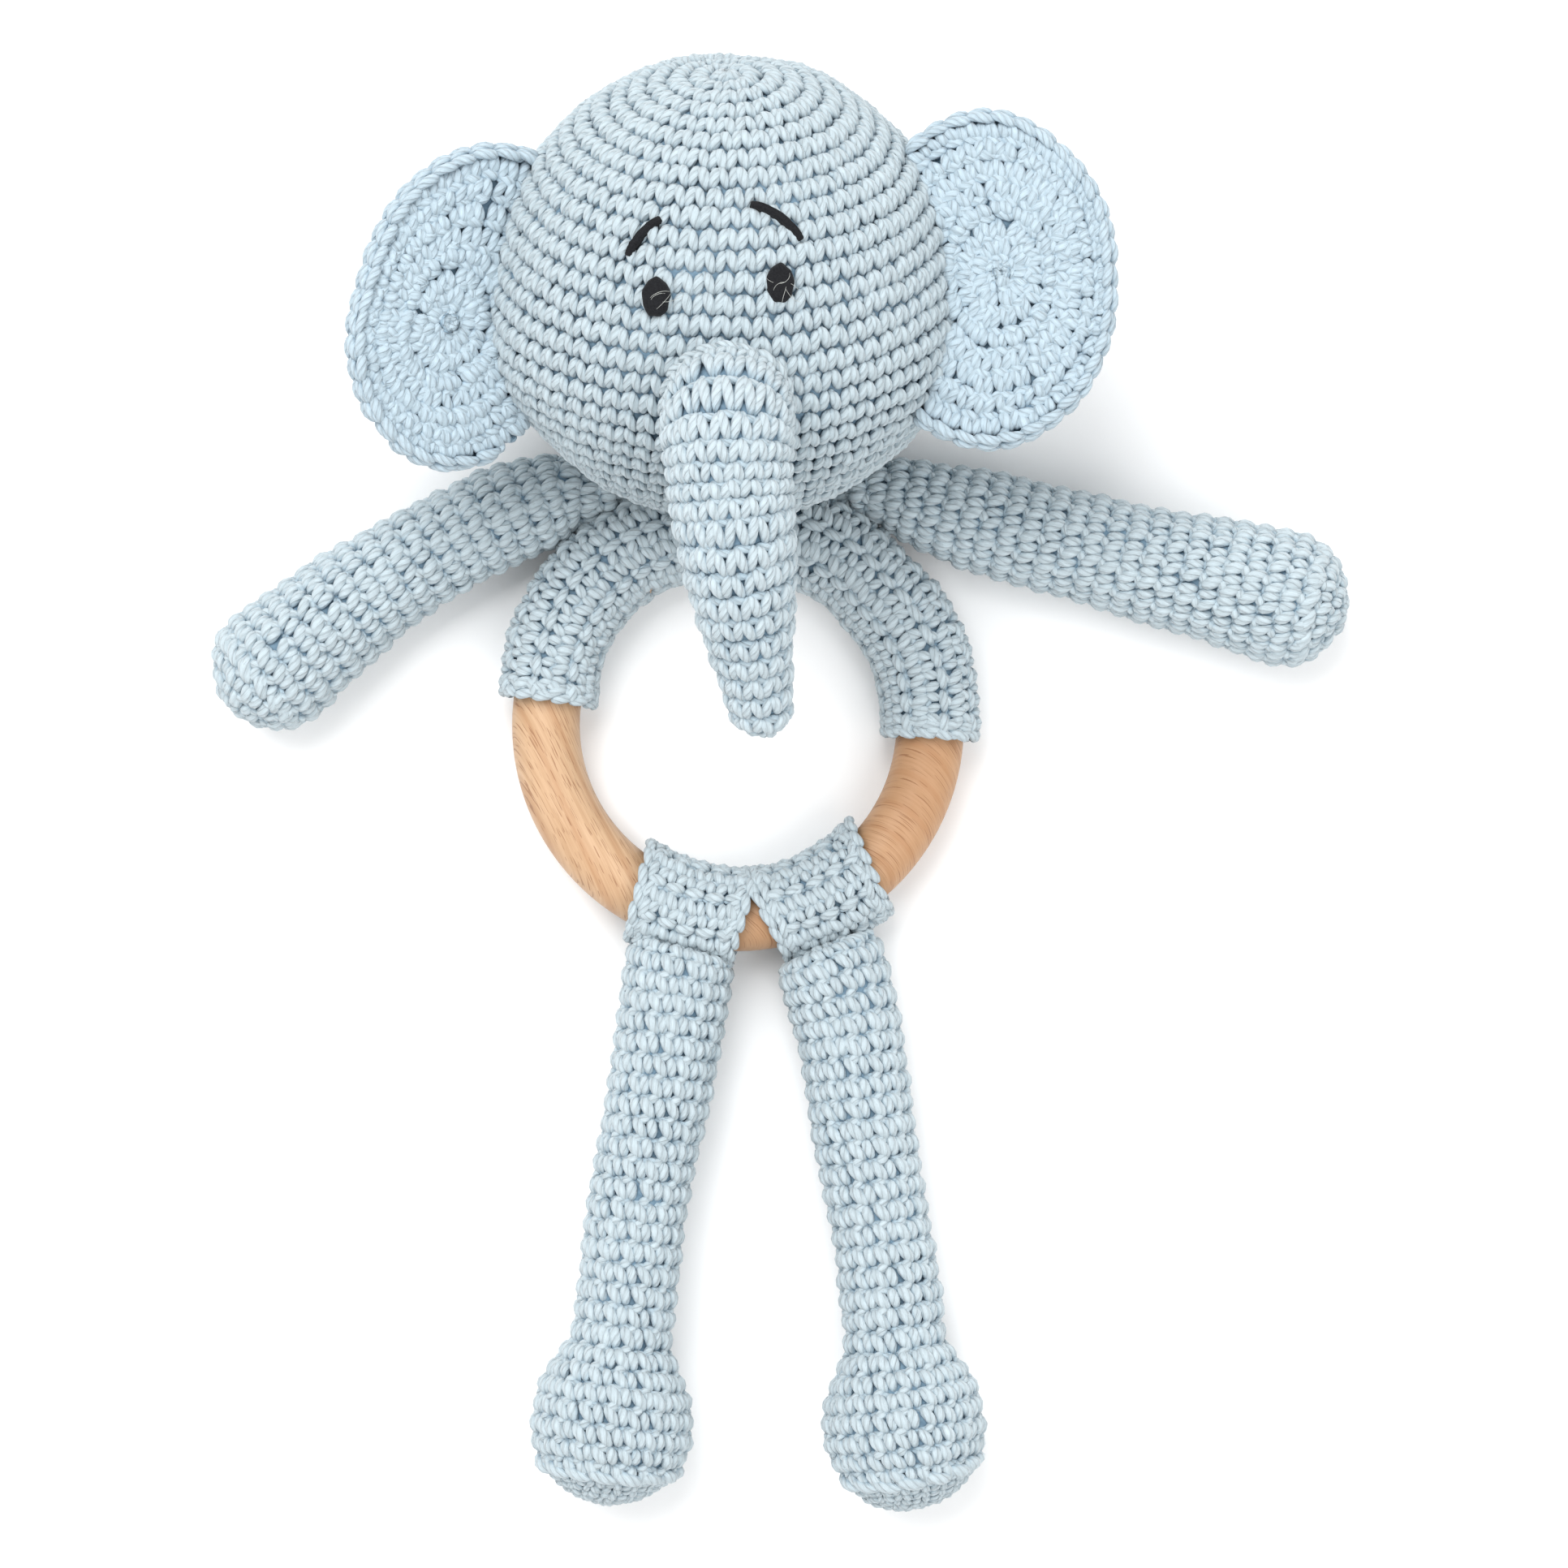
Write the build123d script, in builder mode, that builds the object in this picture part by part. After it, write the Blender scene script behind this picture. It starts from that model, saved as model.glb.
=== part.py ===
from build123d import *
from math import cos, radians, sin
import os

# A crocheted elephant on a wooden teething ring, lying on its back.
# Millimetres. +X is to the right as it faces up, +Y runs from the feet to the crown,
# +Z is out of the face. The origin is the middle of the outline, on the surface it lies on.

FLOOR = 0.0
X_DIR = Vector(1, 0, 0)
Y_DIR = Vector(0, 1, 0)
Z_DIR = Vector(0, 0, 1)

# Fabric
FABRIC = 2.0  # thickness of the crocheted skin of a stuffed part
LOOSE = 0.25  # between a skin and what is inside it
GAP = 0.3  # between parts that move against each other

# Teething ring, lying flat; every place below is measured from its middle in plan,
# and up from the surface that the toy lies on
RING_X = -7.0
RING_Y = 10.5
RING_MEAN_R = 29.75
RING_BAR_R = 5.25

# Crocheted sleeve round the top of the ring, its seam, and the two cuffs; angles from +X
SLEEVE_WALL = 2.3
SLEEVE_R = RING_BAR_R + GAP + SLEEVE_WALL
SLEEVE_START = -2.0
SLEEVE_SPAN = 174.0
SEAM_R = 0.6
SEAM_TURN = 205.0  # place of the seam round the sleeve, from its outer side
SEAM_INSET = 3.0
RING_Z = SLEEVE_R
CUFF_MID = {"left": 255.0, "right": 295.5}
CUFF_SPAN = {"left": 33.0, "right": 37.0}

# Head, a solid of revolution about an axis that leans out of the face
HEAD_AT = (-1.8, 61.0, 32.6)
HEAD_LEAN = 30.0
HEAD_R = 36.4
CROWN_H = 39.8
CHEEK_R = 25.4
CHEEK_H = 19.5
NECK_R = 8.0
NECK_H = 30.2
JAW_SLOPE = -0.6
HEAD_TURNS = (75, 60, 45, 30, 15, 0)  # where the outline above the cheeks follows an ellipse

# Neck seam, between the neck and the sleeve
NECK_SEAM_R = 8.0
NECK_SEAM_H = 4.6

# Rattle inside the head
CAPSULE_R = 12.0
CAPSULE_WALL = 1.0
BEAD_R = 1.6
BEAD_CIRCLE_R = 4.6
BEAD_COUNT = 6

# Eyes and eyebrows, felt laid on the face; places are seen from above
FELT = 0.8
EYE_W = 3.9
EYE_H = 5.6
EYE_AT = {"left": (-11.0, 61.1), "right": (6.4, 63.0)}
BROW_W = 1.2
BROW_R = 11.0
BROW_ARC = {"left": 32.0, "right": 42.0}
BROW_FROM = {"left": 122.0, "right": 34.0}
BROW_AT = {"left": (-13.3, 69.6), "right": (6.5, 72.1)}
BROW_LIFT = 0.25

# Ears, each two discs and a rim: an ellipse cut off straight along the seam
EAR_A = {"left": 18.2, "right": 19.0}
EAR_B = 24.6
EAR_CUT = 2.0
EAR_LAYER = 2.2
EAR_RIM_R = 2.0
EAR_AT = {"left": (-39.1, 62.5, 43.0), "right": (35.0, 65.3, 46.2)}
EAR_TILT = {"left": -11.0, "right": 3.0}  # turn of the seam in plan
EAR_OUT = {"left": -1, "right": 1}
EAR_RISE = {"left": 24.0, "right": 3.0}  # how far the outer edge stands out of the face

DOME = (radians(30), radians(55), radians(75))  # rounds of a tube's domed ends

# Trunk, a bent tube that starts as a ball on its seam and tapers to its tip
TRUNK_AT = (-0.9, 45.2)
TRUNK_LIFT = 7.5
TRUNK_RUN = [(-0.5, 31.2, 71.4), (1.1, 19.7, 68.4), (2.8, 9.2, 63.3), (3.7, 2.7, 59.4)]
TRUNK_RADII = [(0.0, 7.0), (0.18, 7.9), (0.4, 8.3), (0.6, 7.4), (0.8, 6.0), (1.0, 5.0)]
TRUNK_SEAM_R = 7.6
TRUNK_SEAM_BORE = 4.4
TRUNK_SEAM_FROM = 0.4
TRUNK_SEAM_H = 0.9

# Arms, bent tubes that widen to a domed hand; the first place is the shoulder seam
SHOULDER_R = 1.7
SHOULDER_AT = {"left": 115.4, "right": 66.5}  # angle round the ring
ARM_ROOT = 5.0  # from the shoulder seam to where the arm's domed start is widest
ARM_RUN = {
    "left": [(-26.0, 35.8, 7.2), (-33.0, 33.6, 7.4), (-46.4, 26.9, 8.2), (-59.0, 19.0, 9.2), (-70.6, 9.2, 10.2)],
    "right": [(23.0, 36.4, 7.2), (31.0, 34.0, 7.4), (49.1, 28.4, 8.7), (67.9, 23.6, 9.6), (84.0, 19.4, 10.6)],
}
ARM_RADII = {
    "left": [(0.0, 2.8), (0.08, 4.8), (0.2, 6.8), (0.45, 7.8), (0.7, 8.8), (1.0, 10.0)],
    "right": [(0.0, 2.8), (0.08, 4.8), (0.2, 6.8), (0.45, 8.3), (0.7, 9.0), (1.0, 10.4)],
}

# Legs, revolved about their own axes, with a bulb for a foot
LEG_AT = {"left": (-9.6, -40.0, 8.4), "right": (15.8, -39.6, 8.4)}
FOOT_AT = {"left": (-19.3, -107.8, 12.6), "right": (25.5, -108.6, 12.6)}
FOOT_R = 12.5
THIGH_R = 8.4
THIGH_AT = 7.0
HIP_R = 5.5
KNEE_R = 7.5
KNEE_AT = 30.0
SHIN_R = 7.9
SHIN_AT = 50.0
ANKLE_R = 9.3
ANKLE_BACK = 9.0  # from the middle of the foot

SIDES = ["left", "right"]


def place(x, y, z):
    """A place measured from the middle of the ring in plan and up from the floor."""
    return Vector(RING_X + x, RING_Y + y, FLOOR + z)


def in_ring(angle, radius, height):
    """A place at an angle and radius about the middle of the ring."""
    return place(radius * cos(radians(angle)), radius * sin(radians(angle)), height)


def finish(builder, name):
    """Labels a finished piece and writes its STEP file."""
    builder.part.label = name
    export_step(builder.part, f"parts/{name}.step")


def unit(start, end):
    """The direction from one place to another."""
    return (end - start).normalized()


# ---- Ring, sleeve and cuffs ----

RING_AXIS = Axis(Vector(RING_X, RING_Y, RING_Z), Z_DIR)


def bar_plane(angle):
    """The plane across the ring's bar at an angle: x runs outwards, y runs up."""
    outwards = Vector(cos(radians(angle)), sin(radians(angle)), 0)
    return Plane(origin=in_ring(angle, RING_MEAN_R, RING_Z), x_dir=outwards, z_dir=outwards.cross(Z_DIR))


def wrap(start, span):
    """A crocheted tube round the bar, from the start angle and through the span."""
    with BuildPart(mode=Mode.PRIVATE) as tube:
        with BuildSketch(bar_plane(start)):
            Circle(SLEEVE_R)
            Circle(RING_BAR_R + GAP, mode=Mode.SUBTRACT)
        revolve(axis=RING_AXIS, revolution_arc=span)
    return tube.part


def make_teething_ring():
    with BuildPart() as teething_ring:
        with BuildSketch(bar_plane(0)):
            Circle(RING_BAR_R)
        revolve(axis=RING_AXIS)
    finish(teething_ring, "teething_ring")


def make_sleeve():
    with BuildPart() as ring_sleeve:
        add(wrap(SLEEVE_START, SLEEVE_SPAN))
    finish(ring_sleeve, "ring_sleeve")

    # a line of stitches along the inner side of the sleeve
    reach = SLEEVE_R + SEAM_R
    seam_x = reach * cos(radians(SEAM_TURN))
    seam_y = reach * sin(radians(SEAM_TURN))
    with BuildPart() as sleeve_seam:
        with BuildSketch(bar_plane(SLEEVE_START + SEAM_INSET)):
            with Locations((seam_x, seam_y)):
                Circle(SEAM_R)
        revolve(axis=RING_AXIS, revolution_arc=SLEEVE_SPAN - 2 * SEAM_INSET)
    finish(sleeve_seam, "sleeve_seam")


def make_cuff(side):
    with BuildPart() as leg_cuff:
        add(wrap(CUFF_MID[side] - CUFF_SPAN[side] / 2, CUFF_SPAN[side]))
    finish(leg_cuff, f"{side}_leg_cuff")


# ---- Head ----

HEAD_MID = place(*HEAD_AT)
HEAD_AXIS = Vector(0, cos(radians(HEAD_LEAN)), sin(radians(HEAD_LEAN)))
HEAD_SECTION = Plane(origin=HEAD_MID, x_dir=X_DIR, z_dir=X_DIR.cross(HEAD_AXIS))


def head_solid(inset):
    """The solid inside the head's outline moved inwards by inset, flat where the head lies."""
    crown = (0, CROWN_H - inset)
    brow = [((HEAD_R - inset) * cos(radians(turn)), (CROWN_H - inset) * sin(radians(turn))) for turn in HEAD_TURNS]
    cheek = (CHEEK_R - inset, -CHEEK_H + inset / 2)
    neck = (NECK_R - inset, -NECK_H + inset)
    chin = (0, -NECK_H + inset)
    with BuildPart(mode=Mode.PRIVATE) as solid:
        with BuildSketch(HEAD_SECTION):
            with BuildLine():
                Spline(crown, *brow, cheek, neck, tangents=[(1, 0), (-1, JAW_SLOPE)])
                Polyline(neck, chin, crown)
            make_face()
        revolve(axis=Axis(HEAD_MID, HEAD_AXIS))
        split(bisect_by=Plane.XY.offset(FLOOR + inset), keep=Keep.TOP)
    return solid.part


def ball(centre, radius):
    """A solid ball about a place."""
    with BuildPart(Plane(origin=centre), mode=Mode.PRIVATE) as solid:
        Sphere(radius)
    return solid.part


def make_head():
    with BuildPart() as head_shell:
        add(head_solid(0))
        add(head_solid(FABRIC), mode=Mode.SUBTRACT)
    finish(head_shell, "head_shell")

    with BuildPart() as head_stuffing:
        add(head_solid(FABRIC + LOOSE))
        add(ball(HEAD_MID, CAPSULE_R + LOOSE), mode=Mode.SUBTRACT)
    finish(head_stuffing, "head_stuffing")


def make_neck_seam():
    """Stitches that stand on the sleeve, shaped to roll over it."""
    bar = in_ring(90, RING_MEAN_R, RING_Z)
    saddle = Plane(origin=bar, x_dir=Y_DIR, z_dir=X_DIR)
    start = HEAD_MID - HEAD_AXIS * (NECK_H + GAP)
    with BuildPart() as neck_seam:
        with BuildSketch(Plane(origin=start, x_dir=X_DIR, z_dir=HEAD_AXIS * -1)):
            Circle(NECK_SEAM_R)
        extrude(amount=NECK_SEAM_H)
        with BuildSketch(saddle):
            Circle(SLEEVE_R + GAP)
        extrude(amount=2 * NECK_SEAM_R, both=True, mode=Mode.SUBTRACT)
    finish(neck_seam, "neck_seam")


def make_rattle():
    with BuildPart() as rattle_capsule:
        add(ball(HEAD_MID, CAPSULE_R))
        add(ball(HEAD_MID, CAPSULE_R - CAPSULE_WALL), mode=Mode.SUBTRACT)
    finish(rattle_capsule, "rattle_capsule")

    # loose beads lying in the bottom of the capsule
    hollow = CAPSULE_R - CAPSULE_WALL - BEAD_R - GAP
    drop = (hollow**2 - BEAD_CIRCLE_R**2) ** 0.5
    with BuildPart(Plane(origin=HEAD_MID - Z_DIR * drop)) as rattle_beads:
        with PolarLocations(BEAD_CIRCLE_R, BEAD_COUNT):
            Sphere(BEAD_R)
    finish(rattle_beads, "rattle_beads")


# ---- Face ----


def face_height(x, y):
    """The height of the head's surface over a place seen from above, on the crown's half."""
    across = x - HEAD_MID.X
    along = y - HEAD_MID.Y
    c = cos(radians(HEAD_LEAN))
    s = sin(radians(HEAD_LEAN))
    # the spheroid (axial / CROWN_H)^2 + (radial / HEAD_R)^2 = 1 as a quadratic in the height
    a = (s / CROWN_H) ** 2 + (c / HEAD_R) ** 2
    b = 2 * along * c * s * (1 / CROWN_H**2 - 1 / HEAD_R**2)
    k = (along * c / CROWN_H) ** 2 + (along * s / HEAD_R) ** 2 + (across / HEAD_R) ** 2 - 1
    return HEAD_MID.Z + (-b + (b * b - 4 * a * k) ** 0.5) / (2 * a)


def face_plane(at, lift):
    """The plane that lies on the face over a place, lifted off it; y stays towards the crown."""
    x, y, _ = place(*at, 0)
    step = 0.01
    here = Vector(x, y, face_height(x, y))
    along_x = Vector(x + step, y, face_height(x + step, y)) - here
    along_y = Vector(x, y + step, face_height(x, y + step)) - here
    normal = along_x.cross(along_y).normalized()
    return Plane(origin=here + normal * lift, x_dir=Y_DIR.cross(normal), z_dir=normal)


def make_eye(side):
    with BuildPart() as eye:
        with BuildSketch(face_plane(EYE_AT[side], LOOSE)):
            Ellipse(EYE_W / 2, EYE_H / 2)
        extrude(amount=FELT)
    finish(eye, f"{side}_eye")


def make_eyebrow(side):
    middle = BROW_FROM[side] + BROW_ARC[side] / 2
    bend = (-BROW_R * cos(radians(middle)), -BROW_R * sin(radians(middle)))
    with BuildPart() as eyebrow:
        with BuildSketch(face_plane(BROW_AT[side], BROW_LIFT)):
            with BuildLine():
                upper = CenterArc(bend, BROW_R + BROW_W / 2, BROW_FROM[side], BROW_ARC[side])
                lower = CenterArc(bend, BROW_R - BROW_W / 2, BROW_FROM[side], BROW_ARC[side])
                Line(upper @ 0, lower @ 0)
                Line(upper @ 1, lower @ 1)
            make_face()
        extrude(amount=FELT)
    finish(eyebrow, f"{side}_eyebrow")


# ---- Ears ----


def ear_plane(side, offset):
    """The plane of an ear, x outwards from its seam and z out of its front, offset along z."""
    tilt = radians(EAR_TILT[side])
    rise = radians(EAR_RISE[side])
    level = Vector(cos(tilt), sin(tilt), 0) * EAR_OUT[side]
    outwards = level * cos(rise) + Z_DIR * sin(rise)
    seam = Vector(-sin(tilt), cos(tilt), 0)
    front = outwards.cross(seam) * EAR_OUT[side]
    return Plane(origin=place(*EAR_AT[side]) + front * offset, x_dir=outwards, z_dir=front)


def ear_disc(side, start, thickness):
    """One crocheted layer of an ear."""
    a = EAR_A[side]
    with BuildPart(mode=Mode.PRIVATE) as disc:
        with BuildSketch(ear_plane(side, start)):
            with Locations((EAR_CUT, 0)):
                Ellipse(a - EAR_RIM_R, EAR_B - EAR_RIM_R)
            with Locations((-a / 2, 0)):
                Rectangle(a, 2 * EAR_B, mode=Mode.SUBTRACT)
        extrude(amount=thickness)
    return disc.part


def make_ear(side):
    with BuildPart() as ear_front:
        add(ear_disc(side, LOOSE / 2, EAR_LAYER))
    finish(ear_front, f"{side}_ear_front")

    with BuildPart() as ear_back:
        add(ear_disc(side, -EAR_LAYER - LOOSE / 2, EAR_LAYER))
    finish(ear_back, f"{side}_ear_back")

    # the chain of stitches that joins the two layers round their curved edge
    a = EAR_A[side]
    reach = a + LOOSE
    half = EAR_B + LOOSE
    with BuildPart() as ear_rim:
        with BuildSketch(ear_plane(side, -EAR_RIM_R)):
            with Locations((EAR_CUT, 0)):
                Ellipse(reach, half)
                Ellipse(reach - EAR_RIM_R, half - EAR_RIM_R, mode=Mode.SUBTRACT)
            with Locations((-reach / 2, 0)):
                Rectangle(reach, 2 * half + EAR_RIM_R, mode=Mode.SUBTRACT)
        extrude(amount=2 * EAR_RIM_R)
    finish(ear_rim, f"{side}_ear_rim")


# ---- Trunk and arms ----


def bent_tube(path, radii, inset):
    """A round tube lofted along a smooth path, moved inwards by inset, with a dome at each end."""
    with BuildLine(mode=Mode.PRIVATE) as spine:
        Spline(*path)
    line = spine.line
    start = radii[0][1] - inset
    end = radii[-1][1] - inset
    rounds = [(line @ 0 - (line % 0) * (start * sin(turn)), line % 0, start * cos(turn)) for turn in DOME[::-1]]
    rounds += [(line @ at, line % at, radius - inset) for at, radius in radii]
    rounds += [(line @ 1 + (line % 1) * (end * sin(turn)), line % 1, end * cos(turn)) for turn in DOME]
    with BuildPart(mode=Mode.PRIVATE) as tube:
        for middle, forwards, radius in rounds:
            with BuildSketch(Plane(origin=middle, z_dir=forwards)):
                Circle(radius)
        loft()
    return tube.part


def stuffed(name, path, radii):
    """A crocheted tube and the stuffing inside it."""
    with BuildPart() as shell:
        add(bent_tube(path, radii, 0))
        add(bent_tube(path, radii, FABRIC), mode=Mode.SUBTRACT)
    finish(shell, f"{name}_shell")

    with BuildPart() as stuffing:
        add(bent_tube(path, radii, FABRIC + LOOSE))
    finish(stuffing, f"{name}_stuffing")


def make_trunk():
    with BuildPart() as trunk_seam:
        with BuildSketch(face_plane(TRUNK_AT, TRUNK_SEAM_FROM)):
            Circle(TRUNK_SEAM_R)
            Circle(TRUNK_SEAM_BORE, mode=Mode.SUBTRACT)
        extrude(amount=TRUNK_SEAM_H)
    finish(trunk_seam, "trunk_seam")

    middle = face_plane(TRUNK_AT, TRUNK_LIFT).origin
    stuffed("trunk", [middle] + [place(*point) for point in TRUNK_RUN], TRUNK_RADII)


def shoulder(side):
    """The middle of a shoulder seam, just outside the sleeve."""
    return in_ring(SHOULDER_AT[side], RING_MEAN_R + SLEEVE_R + GAP + SHOULDER_R, RING_Z)


def make_arm(side):
    with BuildPart() as shoulder_seam:
        add(ball(shoulder(side), SHOULDER_R))
    finish(shoulder_seam, f"{side}_shoulder_seam")

    run = [place(*point) for point in ARM_RUN[side]]
    root = shoulder(side) + unit(shoulder(side), run[0]) * ARM_ROOT
    stuffed(f"{side}_arm", [root] + run, ARM_RADII[side])


# ---- Legs ----


def leg_solid(side, inset):
    """The solid inside a leg's outline moved inwards by inset."""
    top = place(*LEG_AT[side])
    foot = place(*FOOT_AT[side])
    axis_dir = unit(top, foot)
    length = (foot - top).length
    section = Plane(origin=top, x_dir=axis_dir.cross(Z_DIR), z_dir=axis_dir.cross(Z_DIR).cross(axis_dir))
    hip = (HIP_R - inset, inset)
    thigh = (THIGH_R - inset, THIGH_AT)
    knee = (KNEE_R - inset, KNEE_AT)
    shin = (SHIN_R - inset, SHIN_AT)
    ankle = (ANKLE_R - inset, length - ANKLE_BACK)
    instep = (FOOT_R - inset, length)
    toe = (0, length + FOOT_R - inset)
    with BuildPart(mode=Mode.PRIVATE) as solid:
        with BuildSketch(section):
            with BuildLine():
                Polyline((0, inset), hip)
                Spline(hip, thigh, knee, shin, ankle, instep, tangents=[(0.6, 1), (0, 1)])
                CenterArc((0, length), FOOT_R - inset, start_angle=0, arc_size=90)
                Line(toe, (0, inset))
            make_face()
        revolve(axis=Axis(top, axis_dir))
    return solid.part


def make_leg(side):
    with BuildPart() as leg_shell:
        add(leg_solid(side, 0))
        add(leg_solid(side, FABRIC), mode=Mode.SUBTRACT)
    finish(leg_shell, f"{side}_leg_shell")

    with BuildPart() as leg_stuffing:
        add(leg_solid(side, FABRIC + LOOSE))
    finish(leg_stuffing, f"{side}_leg_stuffing")


def main():
    os.makedirs("parts", exist_ok=True)
    make_teething_ring()
    make_sleeve()
    make_head()
    make_neck_seam()
    make_rattle()
    make_trunk()
    for side in SIDES:
        make_eye(side)
        make_eyebrow(side)
        make_ear(side)
        make_arm(side)
        make_cuff(side)
        make_leg(side)


main()
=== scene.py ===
from collections import namedtuple
from functools import reduce
from math import cos, pi, radians, sin, sqrt

import bpy
import numpy as np
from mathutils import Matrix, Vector
from mathutils.bvhtree import BVHTree


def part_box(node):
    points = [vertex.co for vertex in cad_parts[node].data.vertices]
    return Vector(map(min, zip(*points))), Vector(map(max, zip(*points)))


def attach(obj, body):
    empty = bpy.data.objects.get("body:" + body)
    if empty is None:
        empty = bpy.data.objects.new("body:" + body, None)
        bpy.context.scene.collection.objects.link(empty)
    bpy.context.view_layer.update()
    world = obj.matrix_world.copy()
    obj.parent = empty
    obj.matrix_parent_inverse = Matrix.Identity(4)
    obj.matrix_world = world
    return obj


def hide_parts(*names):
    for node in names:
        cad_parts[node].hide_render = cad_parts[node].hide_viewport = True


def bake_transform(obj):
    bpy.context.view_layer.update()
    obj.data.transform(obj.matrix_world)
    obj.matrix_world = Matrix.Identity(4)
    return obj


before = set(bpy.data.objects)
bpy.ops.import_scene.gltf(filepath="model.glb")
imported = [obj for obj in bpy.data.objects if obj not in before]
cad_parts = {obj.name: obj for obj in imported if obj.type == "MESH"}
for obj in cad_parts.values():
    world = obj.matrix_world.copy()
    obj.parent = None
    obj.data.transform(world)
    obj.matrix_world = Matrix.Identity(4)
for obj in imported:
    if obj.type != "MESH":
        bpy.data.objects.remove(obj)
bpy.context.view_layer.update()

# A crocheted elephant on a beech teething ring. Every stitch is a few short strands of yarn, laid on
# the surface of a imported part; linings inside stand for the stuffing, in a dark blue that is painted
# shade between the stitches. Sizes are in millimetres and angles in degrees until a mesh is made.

MM = 0.001
SIDES = ("left", "right")
rng = np.random.default_rng(7)

# ---- Yarn and stitches ----
STITCH = 3.1  # width of one stitch
ROUND = 3.2  # height of one round of stitches
SKIN = 1.25  # how far a lining lies under the surface
LINING_STEP = 2.2
LINING_END = 0.3  # a lining's directions are read this far from the ends of its form
FLOOR_FILM = 1.2  # yarn lower than this is pressed flat on the floor
FOLDED = -0.3  # a direction this far inwards belongs to a fold inside a bend
LUMPS_WIDE = 0.16  # height of the wide lumps of the stuffing
LUMPS_SMALL = 0.07  # height of the small ones between them

# one strand of a stitch: start and end as shares of a stitch (to the right, with the rounds running
# down) and of a round, sideways bow, depth of its start, height of its middle, depth of its end, radius
Strand = namedtuple("Strand", "x0 r0 x1 r1 bow head peak tail radius")
SLANTED = [
    Strand(-0.36, -0.12, 0.22, 0.86, 0.03, -1.25, -0.62, -1.75, 0.90),
    Strand(0.30, -0.14, 0.50, 0.82, 0.02, -1.30, -0.72, -1.75, 0.82),
    Strand(0.05, 0.70, -0.30, 1.08, 0.00, -1.40, -0.80, -1.40, 0.72),
]
EVEN = [
    Strand(-0.47, -0.20, -0.08, 0.92, 0.03, -1.15, -0.64, -1.80, 0.84),
    Strand(0.40, -0.20, 0.12, 0.90, -0.02, -1.20, -0.68, -1.80, 0.80),
    Strand(-0.60, 0.82, -0.42, 1.06, 0.00, -1.40, -1.10, -1.50, 0.56),
]
BACK = [
    Strand(-0.56, 0.14, 0.46, 0.02, 0.02, -1.25, -0.58, -1.40, 0.82),
    Strand(-0.44, 1.00, -0.18, 0.22, 0.00, -1.50, -0.70, -1.50, 0.84),
    Strand(0.32, 1.00, 0.12, 0.22, 0.00, -1.50, -0.74, -1.50, 0.82),
]
# the yarn seen between two rounds
UNDER = [Strand(-0.60, -0.12, 0.60, -0.04, 0.00, -1.50, -1.15, -1.50, 0.70)]
UNDER_EAR = [Strand(-0.62, -0.22, 0.62, -0.08, 0.00, -1.25, -0.90, -1.25, 0.88)]
# links of a chain, which lean to the right or to the left
LINKS_RIGHT = [Strand(-0.66, 0.16, 0.62, 0.84, 0.0, -1.2, -0.50, -1.2, 0.84)]
LINKS_LEFT = [Strand(-0.66, 0.84, 0.62, 0.16, 0.0, -1.2, -0.50, -1.2, 0.84)]

AT = np.array([0.0, 0.05, 0.18, 0.36, 0.58, 0.78, 0.93, 1.0])  # places along a strand
THICK = np.array([0.03, 0.56, 0.93, 1.03, 1.0, 0.80, 0.44, 0.03])  # its thickness there
FACETS = 8
HUMP_SHAPE = 0.75  # below 1, a strand rises steeply at its ends and is flat in its middle
STRAND_FLAT = 0.92  # height of a strand for its width
YARN_START = 9.0  # the twist of each strand starts anywhere in this length
COUNTED_AT = 0.6  # a round's stitches are counted at this share of its height
SHIFT_SPREAD = 0.08  # how unlike one another the rounds and stitches are
SWELL_SPREAD = 0.05
LIFT_SPREAD = 0.07

# ---- Shape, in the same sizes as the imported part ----
ring_low, ring_high = (np.array(corner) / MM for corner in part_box("teething_ring"))
RING_MID = (ring_low + ring_high) / 2
RING_MEAN_R = 29.75  # from the middle of the ring to the middle of its bar
SLEEVE_R = 7.85  # from the middle of the bar to the outside of the sleeve and the cuffs
SLEEVE_START = -3.0  # angle about the ring where the sleeve begins
SLEEVE_SPAN = 175.0
SLEEVE_SLACK = [(4, 44, 0.5), (44, 90, 0.9), (90, 168, 1.7)]  # where the sleeve hangs outwards, and how far
SEAM_TURN = 205.0  # angle about the bar where the sleeve is sewn up
SEAM_LIFT = 0.4
SEAM_SHORT = 3.0  # the seam stops this many degrees before each end
SEAM_LENGTH = 66.0
SEAM_WIDTH = 2.0
CUFF_MID = {"left": 255.3, "right": 295.8}
CUFF_W = {"left": 15.4, "right": 16.5}

HEAD_AT = (-1.5, 60.9, 32.6)
HEAD_LEAN = 30.0
HEAD_R = 36.4
CROWN_H = 39.8
CHEEK = (25.4, -19.5)  # radius and height over the middle of the head
NECK = (8.0, -30.2)
NECK_SINK = 1.0
NECK_PROFILE = [(0, 7.6), (2.5, 8.0), (6.1, 8.4)]  # distance down from the head and radius

EAR_A = {"left": 18.3, "right": 19.3}  # half the width of an ear
EAR_B = {"left": 24.6, "right": 25.1}  # half its height
EAR_CUT = 2.0
EAR_LAYER = 2.3
EAR_RIPPLE = 0.18  # height of the ripple over the rows
EAR_RIPPLE_PACE = 1.9
EAR_THIN = 0.9  # how much thinner an ear is at its edge
EAR_RIM_R = 1.9
EAR_RIM_DEEP = 1.3  # depth of the rounded edge for its width
EAR_RIM_SWEEP = 0.34  # share of the edge with a chain, each way from its middle
EAR_EVEN = 0.045  # how much the oval is flattened at its corners
EAR_CORE = [  # the lining of an ear over its front and back: share of its reach and height
    (0, 0.6), (0.1, 0.6), (0.5, 0.6), (0.9, 0.5), (1, 0.0), (0.9, -0.5), (0.5, -0.6), (0.1, -0.6), (0, -0.6),
]
LEAST_REACH = 0.3  # the rows begin this far from the eye of the ear
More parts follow.
